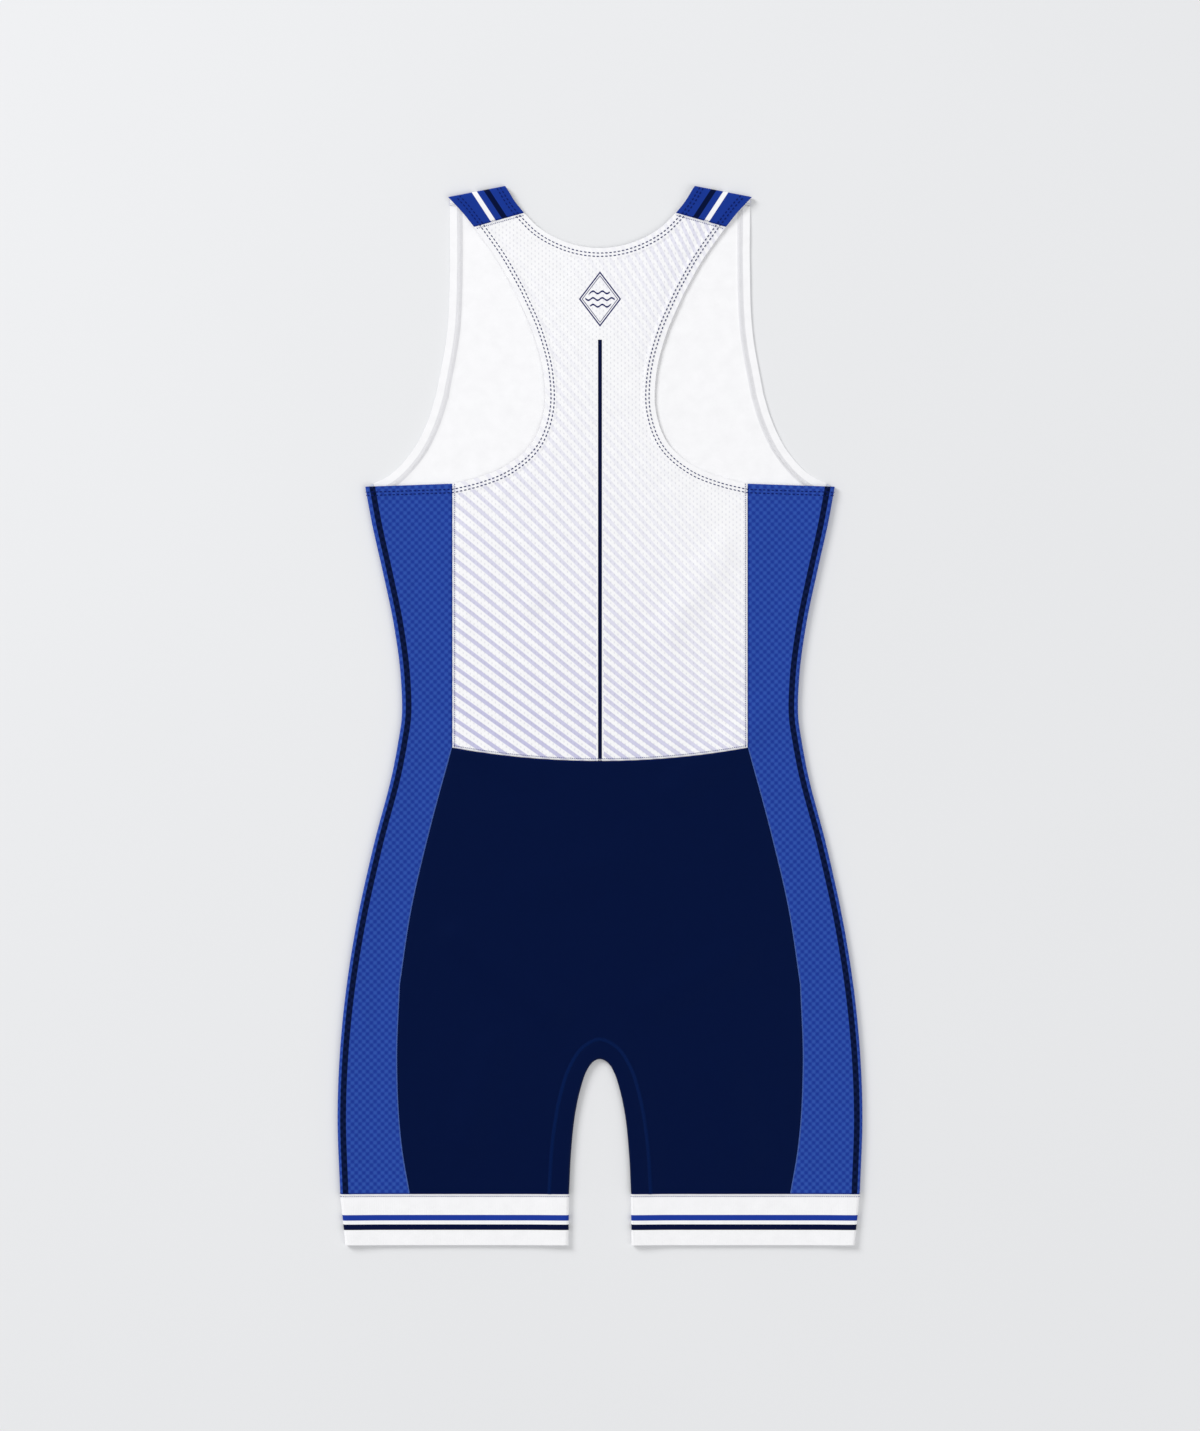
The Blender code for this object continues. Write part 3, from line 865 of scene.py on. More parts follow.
def eyelets_group():
    shade, given, made = new_group("eyelets", {"Across": 0.0, "Along": 0.0}, ["Holes"])
    columns = shade.math("DIVIDE", given["Across"], EYELET_COLUMN)
    nearest = shade.math("ROUND", columns)
    moved = shade.times(shade.math("MODULO", nearest, 2.0), 0.5)
    rows = shade.total(shade.math("DIVIDE", given["Along"], EYELET_ROW), moved)
    out = shade.times(shade.less(columns, nearest), EYELET_COLUMN / EYELET_HALF_WIDTH)
    up = shade.times(shade.less(rows, shade.math("ROUND", rows)), EYELET_ROW / EYELET_HALF_HEIGHT)
    away = shade.math("SQRT", shade.total(shade.times(out, out), shade.times(up, up)))
    shade.feed(made["Holes"], shade.less(1.0, shade.step(away, EYELET_INSIDE, EYELET_OUTSIDE)))
    return shade.tree


DOTS_GROUP = dots_group()
EYELETS_GROUP = eyelets_group()
print("staggered_dots:", len(DOTS_GROUP.nodes), "nodes, eyelets:", len(EYELETS_GROUP.nodes), "nodes")

# %% [markdown]
# ### A fabric
# `Fabric` starts a material: the chart, the knit group and a Principled shader. Knit is matt, with
# a weak gloss tinted by its dye and the soft rim light of fibres, which is its sheen. The cloths
# below change its colour and height and then close it.

# %% Start and finish a fabric
UNTINTED = (1.0, 1.0, 1.0, 1.0)
SHEEN_ROUGHNESS = 0.45
BUMP_STRENGTH = 0.5
BUMP_DISTANCE = 0.25
MOTTLE_SHARE = 0.1
KNIT_DEPTH = 0.3


class Fabric(Shade):
    """A cloth material under construction."""

    def __init__(self, name, roughness, gloss, sheen, tint=UNTINTED):
        self.material = bpy.data.materials.new(name)
        self.material.use_nodes = True
        super().__init__(self.material.node_tree)
        self.shader = self.tree.nodes["Principled BSDF"]
        finish = {
            "Roughness": roughness,
            "Specular IOR Level": gloss,
            "Specular Tint": tint,
            "Sheen Weight": sheen,
            "Sheen Roughness": SHEEN_ROUGHNESS,
            "Sheen Tint": tint,
        }
        for label, value in finish.items():
            self.shader.inputs[label].default_value = value
        place = self.put("ShaderNodeAttribute", attribute_name="chart")
        parts = self.put("ShaderNodeSeparateXYZ")
        self.feed(parts.inputs[0], place.outputs["Vector"])
        millimetres = [self.math("DIVIDE", part, MM) for part in parts.outputs]
        self.across, self.along, self.inset = millimetres
        knit = self.group(KNIT_GROUP, Across=self.across, Along=self.along)
        self.height = self.times(knit["Height"], KNIT_DEPTH)
        self.mottle = knit["Mottle"]

    def close(self, colour, height):
        """Vary the colour a little by the mottle, and link colour and bump."""
        uneven = self.put("ShaderNodeHueSaturation")
        self.feed(uneven.inputs["Color"], colour)
        change = self.times(self.less(self.mottle, 0.5), MOTTLE_SHARE)
        self.feed(uneven.inputs["Value"], self.total(1.0, change))
        self.feed(self.shader.inputs["Base Color"], uneven.outputs["Color"])
        bump = self.put("ShaderNodeBump")
        bump.inputs["Strength"].default_value = BUMP_STRENGTH
        bump.inputs["Distance"].default_value = BUMP_DISTANCE * MM
        self.feed(bump.inputs["Height"], height)
        self.feed(self.shader.inputs["Normal"], bump.outputs["Normal"])
        print(f"{self.material.name}: {len(self.tree.nodes)} nodes")
        return self.material


# %% [markdown]
# ### The printed racer back
# The white mesh carries pale lavender stripes that fan out: they slope by 33 degrees at the left
# of the waist and by 65 at the right shoulder, and lie closer together to the right. A count of
# stripes gives all of that: it grows with the place, its square and its cube, with a number for
# each term, such as 9.748 stripes for 100 mm up. Every whole number of the count is a stripe.
#
# The ink fades to nothing along one stripe that crosses the chest, and comes back above it. The
# stripes also grow wider to the right. A navy line runs down the middle between two bare strips,
# and a small badge of water lines in a lozenge sits above it. The hems are two layers thick, so no
# holes show there and the ink is paler.

# %% How much lavender ink lies where
HUNDRED = 100.0
FIRST_STRIPE = 0.139
STRIPE_TERMS = {
    (0, 1): 9.748, (0, 2): -0.317, (0, 3): -0.012,
    (1, 0): 7.621, (1, 1): 1.288, (1, 2): -0.126,
    (2, 0): 0.598, (2, 1): 0.285, (3, 0): -0.047,
}
FADED_STRIPE = 29.0
FULL_INK_STRIPES = 36.0
STRIPE_SHARE = 0.44
STRIPE_SHARE_GROWTH = 0.06
STRIPE_SOFTNESS = 0.05


def stripe_ink(shade):
    x = shade.math("DIVIDE", shade.across, HUNDRED)
    y = shade.math("DIVIDE", shade.along, HUNDRED)
    terms = [shade.times(*[x] * i, *[y] * j, term) for (i, j), term in STRIPE_TERMS.items()]
    count = shade.total(*terms, FIRST_STRIPE)
    off_centre = shade.less(count, shade.math("ROUND", count))
    share = shade.total(STRIPE_SHARE, shade.times(x, STRIPE_SHARE_GROWTH))
    stripe = shade.band(off_centre, 0.0, shade.times(share, 0.5), STRIPE_SOFTNESS)
    faded = shade.math("ABSOLUTE", shade.less(count, FADED_STRIPE))
    return shade.times(stripe, shade.math("DIVIDE", faded, FULL_INK_STRIPES))


# %% The badge of water lines
BADGE_BLUE = light(8, 20, 92)
BADGE_HEIGHT = 375.0
BADGE_HALF_WIDTH = 19.0
BADGE_HALF_HEIGHT = 25.0
BADGE_RIMS = [(0.96, 0.04), (0.84, 0.02)]
BADGE_SOFTNESS = 0.01
WATER_EDGE = 0.72
WATER_HALF = 0.8
WATER_SOFTNESS = 0.2
WAVES_UP = 1.5
WAVE_SPACING = 6.0
WAVE_RISE = 1.1
WAVE_TURN = 0.75


def badge_ink(shade):
    """A lozenge with three water lines, in navy strokes."""
    y = shade.less(shade.along, BADGE_HEIGHT)
    share_across = shade.math("DIVIDE", shade.math("ABSOLUTE", shade.across), BADGE_HALF_WIDTH)
    share_up = shade.math("DIVIDE", shade.math("ABSOLUTE", y), BADGE_HALF_HEIGHT)
    rim = shade.total(share_across, share_up)
    rims = [shade.band(rim, middle, half, BADGE_SOFTNESS) for middle, half in BADGE_RIMS]
    wave = shade.times(shade.math("SINE", shade.times(shade.across, WAVE_TURN)), WAVE_RISE)
    level = shade.less(y, wave)
    number = shade.math("ROUND", shade.math("DIVIDE", level, WAVE_SPACING))
    off_line = shade.less(level, shade.times(number, WAVE_SPACING))
    water = shade.band(off_line, 0.0, WATER_HALF, WATER_SOFTNESS)
    inside = shade.math("LESS_THAN", rim, WATER_EDGE)
    near = shade.math("LESS_THAN", shade.math("ABSOLUTE", level), WAVES_UP * WAVE_SPACING)
    return shade.math("MINIMUM", shade.total(*rims, shade.times(water, inside, near)), 1.0)


# %% White mesh, printed and plain
CENTRE_LINE_HALF = 1.8
CENTRE_LINE_TOP = 338.4
LINE_GAP = 1.6
PRINT_SOFTNESS = 0.15
# The holes are painted part way towards a grey-blue: painted shade, the shadow seen through them.
HOLE_SHADOW_SHARE = 0.25
HOLE_SHADOW_COLOUR = light(168, 170, 188)
HEM_STEP = (HEM_WIDTH - 0.6, HEM_WIDTH + 0.2)
HEM_INK_LOSS = 0.5


def white_mesh(name, printed):
    fabric = Fabric(name, roughness=0.8, gloss=0.06, sheen=0.04)
    open_cloth = fabric.step(fabric.inset, *HEM_STEP)
    eyelets = fabric.group(EYELETS_GROUP, Across=fabric.across, Along=fabric.along)["Holes"]
    holes = fabric.times(eyelets, open_cloth)
    colour = WHITE
    if printed:
        below = fabric.math("LESS_THAN", fabric.along, CENTRE_LINE_TOP)
        middle, cleared = (
            fabric.times(below, fabric.band(fabric.across, 0.0, half, PRINT_SOFTNESS))
            for half in (CENTRE_LINE_HALF, CENTRE_LINE_HALF + LINE_GAP)
        )
        hem_ink = fabric.total(1.0 - HEM_INK_LOSS, fabric.times(open_cloth, HEM_INK_LOSS))
        ink = fabric.times(stripe_ink(fabric), hem_ink, fabric.less(1.0, cleared))
        colour = fabric.mix(ink, WHITE, LAVENDER)
    # Painted shade: each hole is darkened as the shadow seen through it.
    colour = fabric.mix(fabric.times(holes, HOLE_SHADOW_SHARE), colour, HOLE_SHADOW_COLOUR)
    if printed:
        colour = fabric.mix(middle, fabric.mix(badge_ink(fabric), colour, BADGE_BLUE), NAVY)
    return fabric.close(colour, fabric.less(fabric.height, holes))


WHITE_PRINTED = white_mesh("white_mesh_printed", printed=True)
WHITE_PLAIN = white_mesh("white_mesh_plain", printed=False)

# %% [markdown]
# ### Blue side mesh
# The side mesh is a chessboard of tight and loose knit, light and dark, with fine pores where it
# is loose. The pores are painted towards navy, as painted shade seen through them. A narrow navy
# stripe is printed on it, just inside the side fold, and the weave shows through. The stripe keeps
# its distance from the fold and comes a little closer at the leg.

# %% Blue mesh
CHECK_PITCH = 6.75
PORE_PITCH = CHECK_PITCH / 4
SIDE_STRIPE_CENTRE = 7.4
SIDE_STRIPE_DRIFT = 0.0022
SIDE_STRIPE_HALF = 2.6
SIDE_STRIPE_SOFTNESS = 0.2
CHECK_STEP = (-0.75, 0.75)
CHECK_BLUES = (light(31, 59, 153), light(48, 82, 170))
CHECK_NAVIES = (light(0, 8, 42), light(12, 24, 66))
CHECK_RISE = 0.8
PORE_SIZE = 0.4
# How far the pores are painted towards navy: painted shade, the shadow seen through them.
PORE_SHADOW_SHARE = 0.4
PORE_DEPTH = 0.6
BLUE_TINT = (0.35, 0.5, 1.0, 1.0)


def blue_mesh():
    fabric = Fabric("blue_side_mesh", roughness=0.7, gloss=0.1, sheen=0.06, tint=BLUE_TINT)
    check, pores = (
        fabric.group(
            DOTS_GROUP,
            Across=fabric.across,
            Along=fabric.along,
            Column_pitch=pitch / 2,
            Row_pitch=pitch,
            Size=PORE_SIZE,
        )
        for pitch in (CHECK_PITCH, PORE_PITCH)
    )
    tone = fabric.step(check["Wave"], *CHECK_STEP)
    holes = fabric.times(pores["Dots"], fabric.less(1.0, tone))
    centre = fabric.total(SIDE_STRIPE_CENTRE, fabric.times(fabric.along, SIDE_STRIPE_DRIFT))
    stripe = fabric.band(fabric.inset, centre, SIDE_STRIPE_HALF, SIDE_STRIPE_SOFTNESS)
    colour = fabric.mix(stripe, fabric.mix(tone, *CHECK_BLUES), fabric.mix(tone, *CHECK_NAVIES))
    # Painted shade: the pores are darkened towards navy.
    colour = fabric.mix(fabric.times(holes, PORE_SHADOW_SHARE), colour, NAVY)
    raised = fabric.total(fabric.height, fabric.times(tone, CHECK_RISE))
    return fabric.close(colour, fabric.less(raised, fabric.times(holes, PORE_DEPTH)))


BLUE_MESH = blue_mesh()

# %% [markdown]
# ### Plain knits
# The shorts are smooth navy stretch knit with the faintest satin, dyed through, so that they are
# navy inside too. Printed cloth stays white or pale inside, where the ink doesn't reach. Beside the
# hem of the inner white side the cloth is painted a faintly greyer band, where looper threads cover
# the raw edge.

# %% Navy knit, and the insides
NAVY_TINT = (0.2, 0.4, 1.0, 1.0)
LOOPER_BAND_MIDDLE = 8.8
LOOPER_BAND_HALF = 2.5
LOOPER_BAND_SOFTNESS = 0.2
LOOPER_BAND_COLOUR = light(232, 232, 236)


def plain_knit(name, colour, roughness, gloss, sheen, tint=UNTINTED):
    fabric = Fabric(name, roughness, gloss, sheen, tint)
    return fabric.close(colour, fabric.height)


def white_inside():
    fabric = Fabric("inside_of_white_knit", roughness=0.8, gloss=0.15, sheen=0.1)
    covered = fabric.band(
        fabric.inset, LOOPER_BAND_MIDDLE, LOOPER_BAND_HALF, LOOPER_BAND_SOFTNESS
    )
    return fabric.close(fabric.mix(covered, WHITE, LOOPER_BAND_COLOUR), fabric.height)


NAVY_KNIT = plain_knit("navy_stretch_knit", NAVY, 0.5, 0.16, 0.04, NAVY_TINT)
NAVY_INSIDE = plain_knit("inside_of_navy_knit", light(8, 20, 62), 0.65, 0.1, 0.05, NAVY_TINT)
BLUE_INSIDE = plain_knit("inside_of_blue_mesh", light(214, 220, 238), 0.8, 0.15, 0.1)
WHITE_INSIDE = white_inside()

# %% [markdown]
# ### Straps and leg bands
# The strap stripes run along the strap, which leans. Each stripe is a band of one number, the
# distance from a line through the origin at the strap's slant. The leg band is a ribbed elastic
# knit with a blue and a navy stripe knitted round it.

# %% Strap knit and leg band knit
STRAP_SLANT = math.radians(33.4)
STRAP_WHITE = -164.9
STRAP_WHITE_HALF = 2.1
STRAP_NAVY = -175.0
STRAP_NAVY_HALF = 2.35
BAND_STRIPE_HALF = 2.5
BAND_BLUE_STRIPE = -452.2
BAND_NAVY_STRIPE = -460.7
BAND_RIB = 1.6
BAND_RIB_RISE = 0.35


def strap_knit():
    fabric = Fabric("strap_knit", roughness=0.6, gloss=0.12, sheen=0.05, tint=BLUE_TINT)
    out = fabric.times(fabric.math("ABSOLUTE", fabric.across), math.cos(STRAP_SLANT))
    up = fabric.times(fabric.along, math.sin(STRAP_SLANT))
    lean = fabric.less(out, up)
    white = fabric.band(lean, STRAP_WHITE, STRAP_WHITE_HALF, PRINT_SOFTNESS)
    navy = fabric.band(lean, STRAP_NAVY, STRAP_NAVY_HALF, PRINT_SOFTNESS)
    colour = fabric.mix(navy, fabric.mix(white, ROYAL, WHITE), NAVY)
    return fabric.close(colour, fabric.height)


def band_knit():
    fabric = Fabric("leg_band_knit", roughness=0.7, gloss=0.06, sheen=0.04)
    blue = fabric.band(fabric.along, BAND_BLUE_STRIPE, BAND_STRIPE_HALF, PRINT_SOFTNESS)
    navy = fabric.band(fabric.along, BAND_NAVY_STRIPE, BAND_STRIPE_HALF, PRINT_SOFTNESS)
    colour = fabric.mix(navy, fabric.mix(blue, WHITE, BAND_BLUE), NAVY)
    turns = fabric.times(fabric.math("DIVIDE", fabric.across, BAND_RIB), TURN)
    rib = fabric.times(fabric.math("COSINE", turns), BAND_RIB_RISE)
    return fabric.close(colour, fabric.total(fabric.height, rib))


STRAP_KNIT = strap_knit()
BAND_KNIT = band_knit()

# %% [markdown]
# ## The shorts
# The seat and thighs are one navy panel on the back and one on the front. Rows run from the leg
# band up. On the thighs they start at the gusset's arch, and above the crotch at the centre line.
# The three lengths below are those of the thigh, hip and side seams, rounded, and only space the
# rows.

# %% Back and front of the shorts
THIGH_LENGTH = 190.0
HIP_LENGTH = 218.0
CHEST_LENGTH = 238.0
ARCH_CROWDING = 1.6


def fine_stops(length, start=PLAIN_STOPS, end=PLAIN_STOPS):
    """Stops along a length, a fine step apart between its ends."""
    return stops(length, int(length / FINE), start, end)


THIGH_SHARES = fine_stops(THIGH_LENGTH, start=CLOSE_STOPS)
HIP_SHARES = fine_stops(HIP_LENGTH, end=CLOSE_STOPS)
CHEST_SHARES = fine_stops(CHEST_LENGTH, start=CLOSE_STOPS)
ARCH_SHARES = 1 - (1 - THIGH_SHARES) ** ARCH_CROWDING


def centre_line(low, high, shares):
    heights = low + (high - low) * shares
    return np.stack([np.zeros_like(heights), heights], axis=1)


def pulled_back(grid):
    """A grid with its first and last rows drawn in, to leave the seams' gap."""
    grid[0, :, 1] += HALF_GAP
    grid[-1, :, 1] -= HALF_GAP
    return grid


def shorts_grid():
    arch = beside(at_shares(curve("gusset seam"), ARCH_SHARES), -HALF_GAP)
    arch[-1, 0] = 0.0
    inner = end_to_end(arch, centre_line(arch[-1, 1], WAIST_HEIGHT, HIP_SHARES))
    thigh = at_shares(curve("thigh seam"), THIGH_SHARES)
    hip = at_shares(curve("hip seam"), HIP_SHARES)
    outer = beside(end_to_end(thigh, hip), HALF_GAP)
    return pulled_back(across(inner, outer, CLOSE_STOPS, CLOSE_STOPS))


def panel(name, layer, grid, outside, inside):
    """A flat panel on both sides of the centre line."""
    return cloth(name, [layer(half) for half in both_sides(grid)], outside, inside)


shorts = shorts_grid()
back_shorts = panel("back_shorts_cloth", back_sheet, shorts, NAVY_KNIT, NAVY_INSIDE)
front_shorts = panel("front_shorts_cloth", front_sheet, shorts, NAVY_KNIT, NAVY_INSIDE)

# %% [markdown]
# ## The top
# The back is a racer back: deep armholes leave a narrow bridge between the shoulder blades. The
# front has wider straps and a lower neck. It lies under the back, and its inside shows through the
# arm openings.

# %% Back and front of the top
def yoke_grid(side_seam, armhole, armhole_top, neckline, neck_height):
    side = beside(at_shares(curve(side_seam), CHEST_SHARES), HALF_GAP)
    armhole_line = curve(armhole)
    armhole_shares = fine_stops(lengths(armhole_line)[-1])
    neck_line = curve(neckline)
    neck_shares = fine_stops(lengths(neck_line)[-1], end=CLOSE_STOPS)
    side[-1] = armhole_line[0]
    outer = end_to_end(
        side, at_shares(armhole_line, armhole_shares), at_shares(curve(armhole_top), neck_shares)
    )
    inner = end_to_end(
        centre_line(WAIST_HEIGHT, CHEST_TOP, CHEST_SHARES),
        centre_line(CHEST_TOP, neck_height, armhole_shares),
        at_shares(neck_line, neck_shares),
    )
    return pulled_back(across(inner, outer, HEM_STOPS, HEM_STOPS))


back_top = yoke_grid(
    "back side seam", "back armhole", "back armhole top", "back neckline", BACK_NECK_HEIGHT
)
front_top = yoke_grid(
    "front side seam", "front armhole", "front armhole top", "front neckline", FRONT_NECK_HEIGHT
)
back_yoke = panel("back_yoke_cloth", back_sheet, back_top, WHITE_PRINTED, WHITE_INSIDE)
front_yoke = panel("front_yoke_cloth", front_sheet, front_top, WHITE_PLAIN, WHITE_INSIDE)

# %% [markdown]
# ## Side panels, gusset, straps and bands
# These wrap round a fold, so their grids are made of sections. The side panel keeps the same rows
# as the panels beside it, so both have a point at the same place along their seam.

# %% Side panels
HANDS = {"left": -1, "right": 1}


def to_side(line, side):
    return line * np.array([side, 1])


def side_panel(hand):
    below = end_to_end(
        at_shares(curve("thigh seam"), THIGH_SHARES), at_shares(curve("hip seam"), HIP_SHARES)
    )
    back = end_to_end(below, at_shares(curve("back side seam"), CHEST_SHARES))
    front = end_to_end(below, at_shares(curve("front side seam"), CHEST_SHARES))
    heights = (below[:, 1] - below[0, 1]) / (below[-1, 1] - below[0, 1])
    fold = end_to_end(
        at_shares(curve("side fold below the waist"), heights),
        at_shares(curve("side fold above the waist"), CHEST_SHARES),
    )
    back, front = beside(back, -HALF_GAP), beside(front, -HALF_GAP)
    for line in (back, front, fold):
        line[0, 1] += HALF_GAP
    widths = np.linalg.norm(fold - back, axis=1)
    count = int(np.median(widths) / FINE)
    back_shares = np.array([stops(width, count, start=CLOSE_STOPS) for width in widths])
    front_shares = np.tile(np.linspace(0, 1, count), (len(front), 1))
    lines = [to_side(line, HANDS[hand]) for line in (back, fold, front)]
    sheet = wrap(*lines, back_shares, front_shares)
    return cloth(f"side_panel_{hand}_cloth", [sheet], BLUE_MESH, BLUE_INSIDE)


side_panels = {hand: side_panel(hand) for hand in HANDS}

# %% Gusset
GUSSET_BACK_COLUMNS = 4
GUSSET_FRONT_COLUMNS = 6
WIDEST_TO_MEAN = 1.2


def turned(sheet):
    """A sheet with its columns in the other order, so that its faces point the same way."""
    return Sheet(*(grid[:, ::-1] for grid in sheet))


def gusset_sheet(side):
    seam = beside(at_shares(curve("gusset seam"), ARCH_SHARES), HALF_GAP)
    fold = at_shares(curve("crotch fold"), ARCH_SHARES)
    seam[-1, 0] = 0.0
    for line in (seam, fold):
        line[0, 1] += HALF_GAP
    widths = np.linalg.norm(fold - seam, axis=1)
    back_shares = [stops(width, GUSSET_BACK_COLUMNS, start=CLOSE_STOPS) for width in widths]
    front_shares = np.tile(np.linspace(0, 1, GUSSET_FRONT_COLUMNS), (len(seam), 1))
    lines = [to_side(line, side) for line in (seam, fold, seam)]
    return wrap(*lines, np.array(back_shares), front_shares)


gusset_sheets = [gusset_sheet(1), turned(gusset_sheet(-1))]
gusset = cloth("gusset_cloth", gusset_sheets, NAVY_KNIT, NAVY_INSIDE)
gusset_length = 2 * lengths(curve("crotch fold"))[-1] * MM
gusset_width = WIDEST_TO_MEAN * cut_sizes[gusset.name][2] / gusset_length
cut_sizes[gusset.name] = (gusset_width, gusset_length, cut_sizes[gusset.name][2])
print(f"the gusset is a curved strip, {gusset_width:.3f} m wide and {gusset_length:.3f} m long")

# %% Shoulder pieces
STRAP_ROWS = 9
STRAP_FRONT_ROWS = 5
STRAP_LENGTH = 29.0
ROW_BELOW_FOLD = -4


def shoulder_piece(hand):
    side = HANDS[hand]
    shares = stops(STRAP_LENGTH, STRAP_ROWS, start=CLOSE_STOPS)
    neck_edge = at_shares(curve("strap neck edge"), shares)
    arm_edge = at_shares(curve("strap arm edge"), shares)
    places = across(neck_edge, arm_edge, HEM_STOPS, HEM_STOPS)
    places[0, :, 1] += HALF_GAP
    places = to_side(places, side)
    front_ends = curve("front strap seam")[[0, -1]]
    along = np.linalg.norm(places[-1] - places[-1, 0], axis=1)
    front = front_ends[0] + (front_ends[1] - front_ends[0]) * (along / along[-1])[:, None]
    front[:, 1] += HALF_GAP
    front = to_side(front, side)
    fold = places[-1]
    outward = unit(fold - places[ROW_BELOW_FOLD])
    turn = fold - outward * FOLD_RADIUS
    reach = np.linalg.norm(turn - places[0], axis=1)
    full = np.linalg.norm(fold - places[0], axis=1)
    drawn_in = places[0] + (places - places[0]) * (reach / full)[None, :, None]
    back = back_sheet(drawn_in.transpose(1, 0, 2))
    front_shares = np.tile(np.linspace(0, 1, STRAP_FRONT_ROWS), (len(front), 1))
    under = unfolded(front_sheet(share_out(turn, front, front_shares)), turn, outward)
    sheet = side_by_side(back, bend(turn, outward), under)
    return cloth(f"shoulder_{hand}_cloth", [sheet], STRAP_KNIT, WHITE_INSIDE)


shoulders = {hand: shoulder_piece(hand) for hand in HANDS}

# %% Leg bands
BAND_ROWS = 12


def leg_band(hand):
    shares = stops(BAND_HEIGHT, BAND_ROWS, end=CLOSE_STOPS)
    outer_edge = at_shares(curve("band outer fold"), shares)
    inner_edge = at_shares(curve("band inner fold"), shares)
    for line in (outer_edge, inner_edge):
        line[-1, 1] -= HALF_GAP
    inner_fold, outer_fold = to_side(inner_edge, HANDS[hand]), to_side(outer_edge, HANDS[hand])
    outward = unit(outer_fold - inner_fold)
    outer_turn = outer_fold - outward * FOLD_RADIUS
    inner_turn = inner_fold + outward * FOLD_RADIUS
    width = np.linalg.norm(outer_turn - inner_turn, axis=1)
    over = np.tile(np.linspace(0, 1, int(width[0] / FINE)), (len(width), 1))
    back = back_sheet(share_out(inner_turn, outer_turn, over))
    front = front_sheet(share_out(outer_turn, inner_turn, over))
    front = unfolded(front, outer_turn, outward)
    last = turned(bend(inner_turn, -outward))
    from_turn = np.linalg.norm(inner_turn[:, None] - last.chart[..., :2], axis=-1)
    around = 2 * (width[:, None] + HALF_TURN * FOLD_RADIUS) - from_turn
    opened = inner_turn[:, None] + outward[:, None] * around[..., None]
    last = last._replace(chart=stacked(opened, last.chart[..., 2]))
    ring = side_by_side(back, bend(outer_turn, outward), front, last)
    return cloth(f"leg_band_{hand}_cloth", [ring], BAND_KNIT, WHITE_INSIDE, closed=True)


leg_bands = {hand: leg_band(hand) for hand in HANDS}

# %% [markdown]
# ## Sewing
# A hem is held by two parallel rows of stitches from a twin needle. The seams between panels are
# flatlock, where a looper thread zigzags over two needle rows. Both are made of one kind of part:
# a short thread that dives into the cloth at both ends. `threads` makes thousands of them at once
# as a single joined mesh.
#
# The sewing runs over the folds. `laid` takes a place that is past a fold's turn round the half
# circle, and also gives the way out of the cloth there, so the threads lie on it and not in it.

# %% Where threads lie
CLOTH_TO_LEFT = [(SIDE_FOLD, 1), (INNER_FOLD, -1), (SHOULDER_FOLD, -1)]


def upright(points):
    """The way up, for each of some points."""
    return np.broadcast_to(np.array([0.0, 0.0, 1.0]), (*points.shape[:-1], 3))


def laid(places):
    """Points on the outside of the back layer, and the way out of the cloth there."""
    points = stacked(places, back_outer(places))
    ways = upright(places).copy()
    half = mirrored(places)
    side = np.where(places[..., 0] < 0, -1.0, 1.0)
    for line, hand in CLOTH_TO_LEFT:
        near, to_left, left = foot(half, line)
        past = FOLD_RADIUS - to_left * hand
        outward = -left * hand
        angle = past / FOLD_RADIUS
        radius = FOLD_RADIUS - seam_dip(places) * (1 + np.cos(angle)) / 2
        moved = half + outward * (radius * np.sin(angle) - past)[..., None]
        level = FOLD_RADIUS + radius * np.cos(angle)
        round_it = (past > 0) & (near < HALF_TURN * FOLD_RADIUS)
        bent = np.stack([moved[..., 0] * side, moved[..., 1], level], axis=-1)
        out = stacked(outward * np.sin(angle)[..., None], np.cos(angle))
        out[..., 0] *= side
        points = np.where(round_it[..., None], bent, points)
        ways = np.where(round_it[..., None], out, ways)
    return points, ways


def laid_inside(places):
    """Points on the inside of the front layer, and the way up."""
    return stacked(places, front_inner(places)), upright(places)


# %% Short threads
BACK_EDGES = [(BACK_HEMS[0], -1), (BACK_HEMS[1], 1), (SHOULDER_FOLD, -1)]
FRONT_EDGES = [(FRONT_HEMS[0], -1), (FRONT_HEMS[1], 1)]
EDGE_MARGIN = 0.4
THREAD_SIDES = 5
THREAD_STATIONS = (0.0, 0.22, 0.78, 1.0)
THREAD_RISE = (-0.8, 0.35, 0.35, -0.8)
THREAD_WIDTH = (0.55, 1.0, 1.0, 0.55)


def threads(name, starts, ends, lay, radius, material):
    """Short threads between places on the cloth, as one mesh."""
    stations = np.array(THREAD_STATIONS)[None, :, None]
    points, ways = lay(starts[:, None] + (ends - starts)[:, None] * stations)
    sideways = unit(np.cross(ways, points[:, -1:] - points[:, :1]))
    centres = points + ways * (radius * np.array(THREAD_RISE))[None, :, None]
    angles = TURN * np.arange(THREAD_SIDES) / THREAD_SIDES
    width = radius * np.array(THREAD_WIDTH)[:, None]
    out = (width * np.cos(angles))[None, :, :, None]
    up = (width * np.sin(angles))[None, :, :, None]
    rings = centres[:, :, None] + sideways[:, :, None] * out + ways[:, :, None] * up
    numbers = np.arange(rings[..., 0].size).reshape(rings.shape[:3])
    around = np.roll(numbers, -1, axis=2)
    walls = np.stack([numbers[:, :-1], around[:, :-1], around[:, 1:], numbers[:, 1:]], axis=-1)
    faces = walls.reshape(-1, 4).tolist()
    faces += numbers[:, 0, ::-1].tolist() + numbers[:, -1].tolist()
    data = bpy.data.meshes.new(name)
    data.from_pydata(on_table(rings.reshape(-1, 3)).tolist(), [], faces)
    face_out(data)
    data.shade_smooth()
    data.materials.append(material)
    print(f"{name}: {len(starts)} threads")
    return placed(name, data)


def dashes(line, pitch, dash):
    """Starts and ends of the stitches of one row."""
    total = lengths(line)[-1]
    first = np.arange((pitch - dash) / 2, total - dash, pitch)
    return at_shares(line, first / total), at_shares(line, (first + dash) / total)


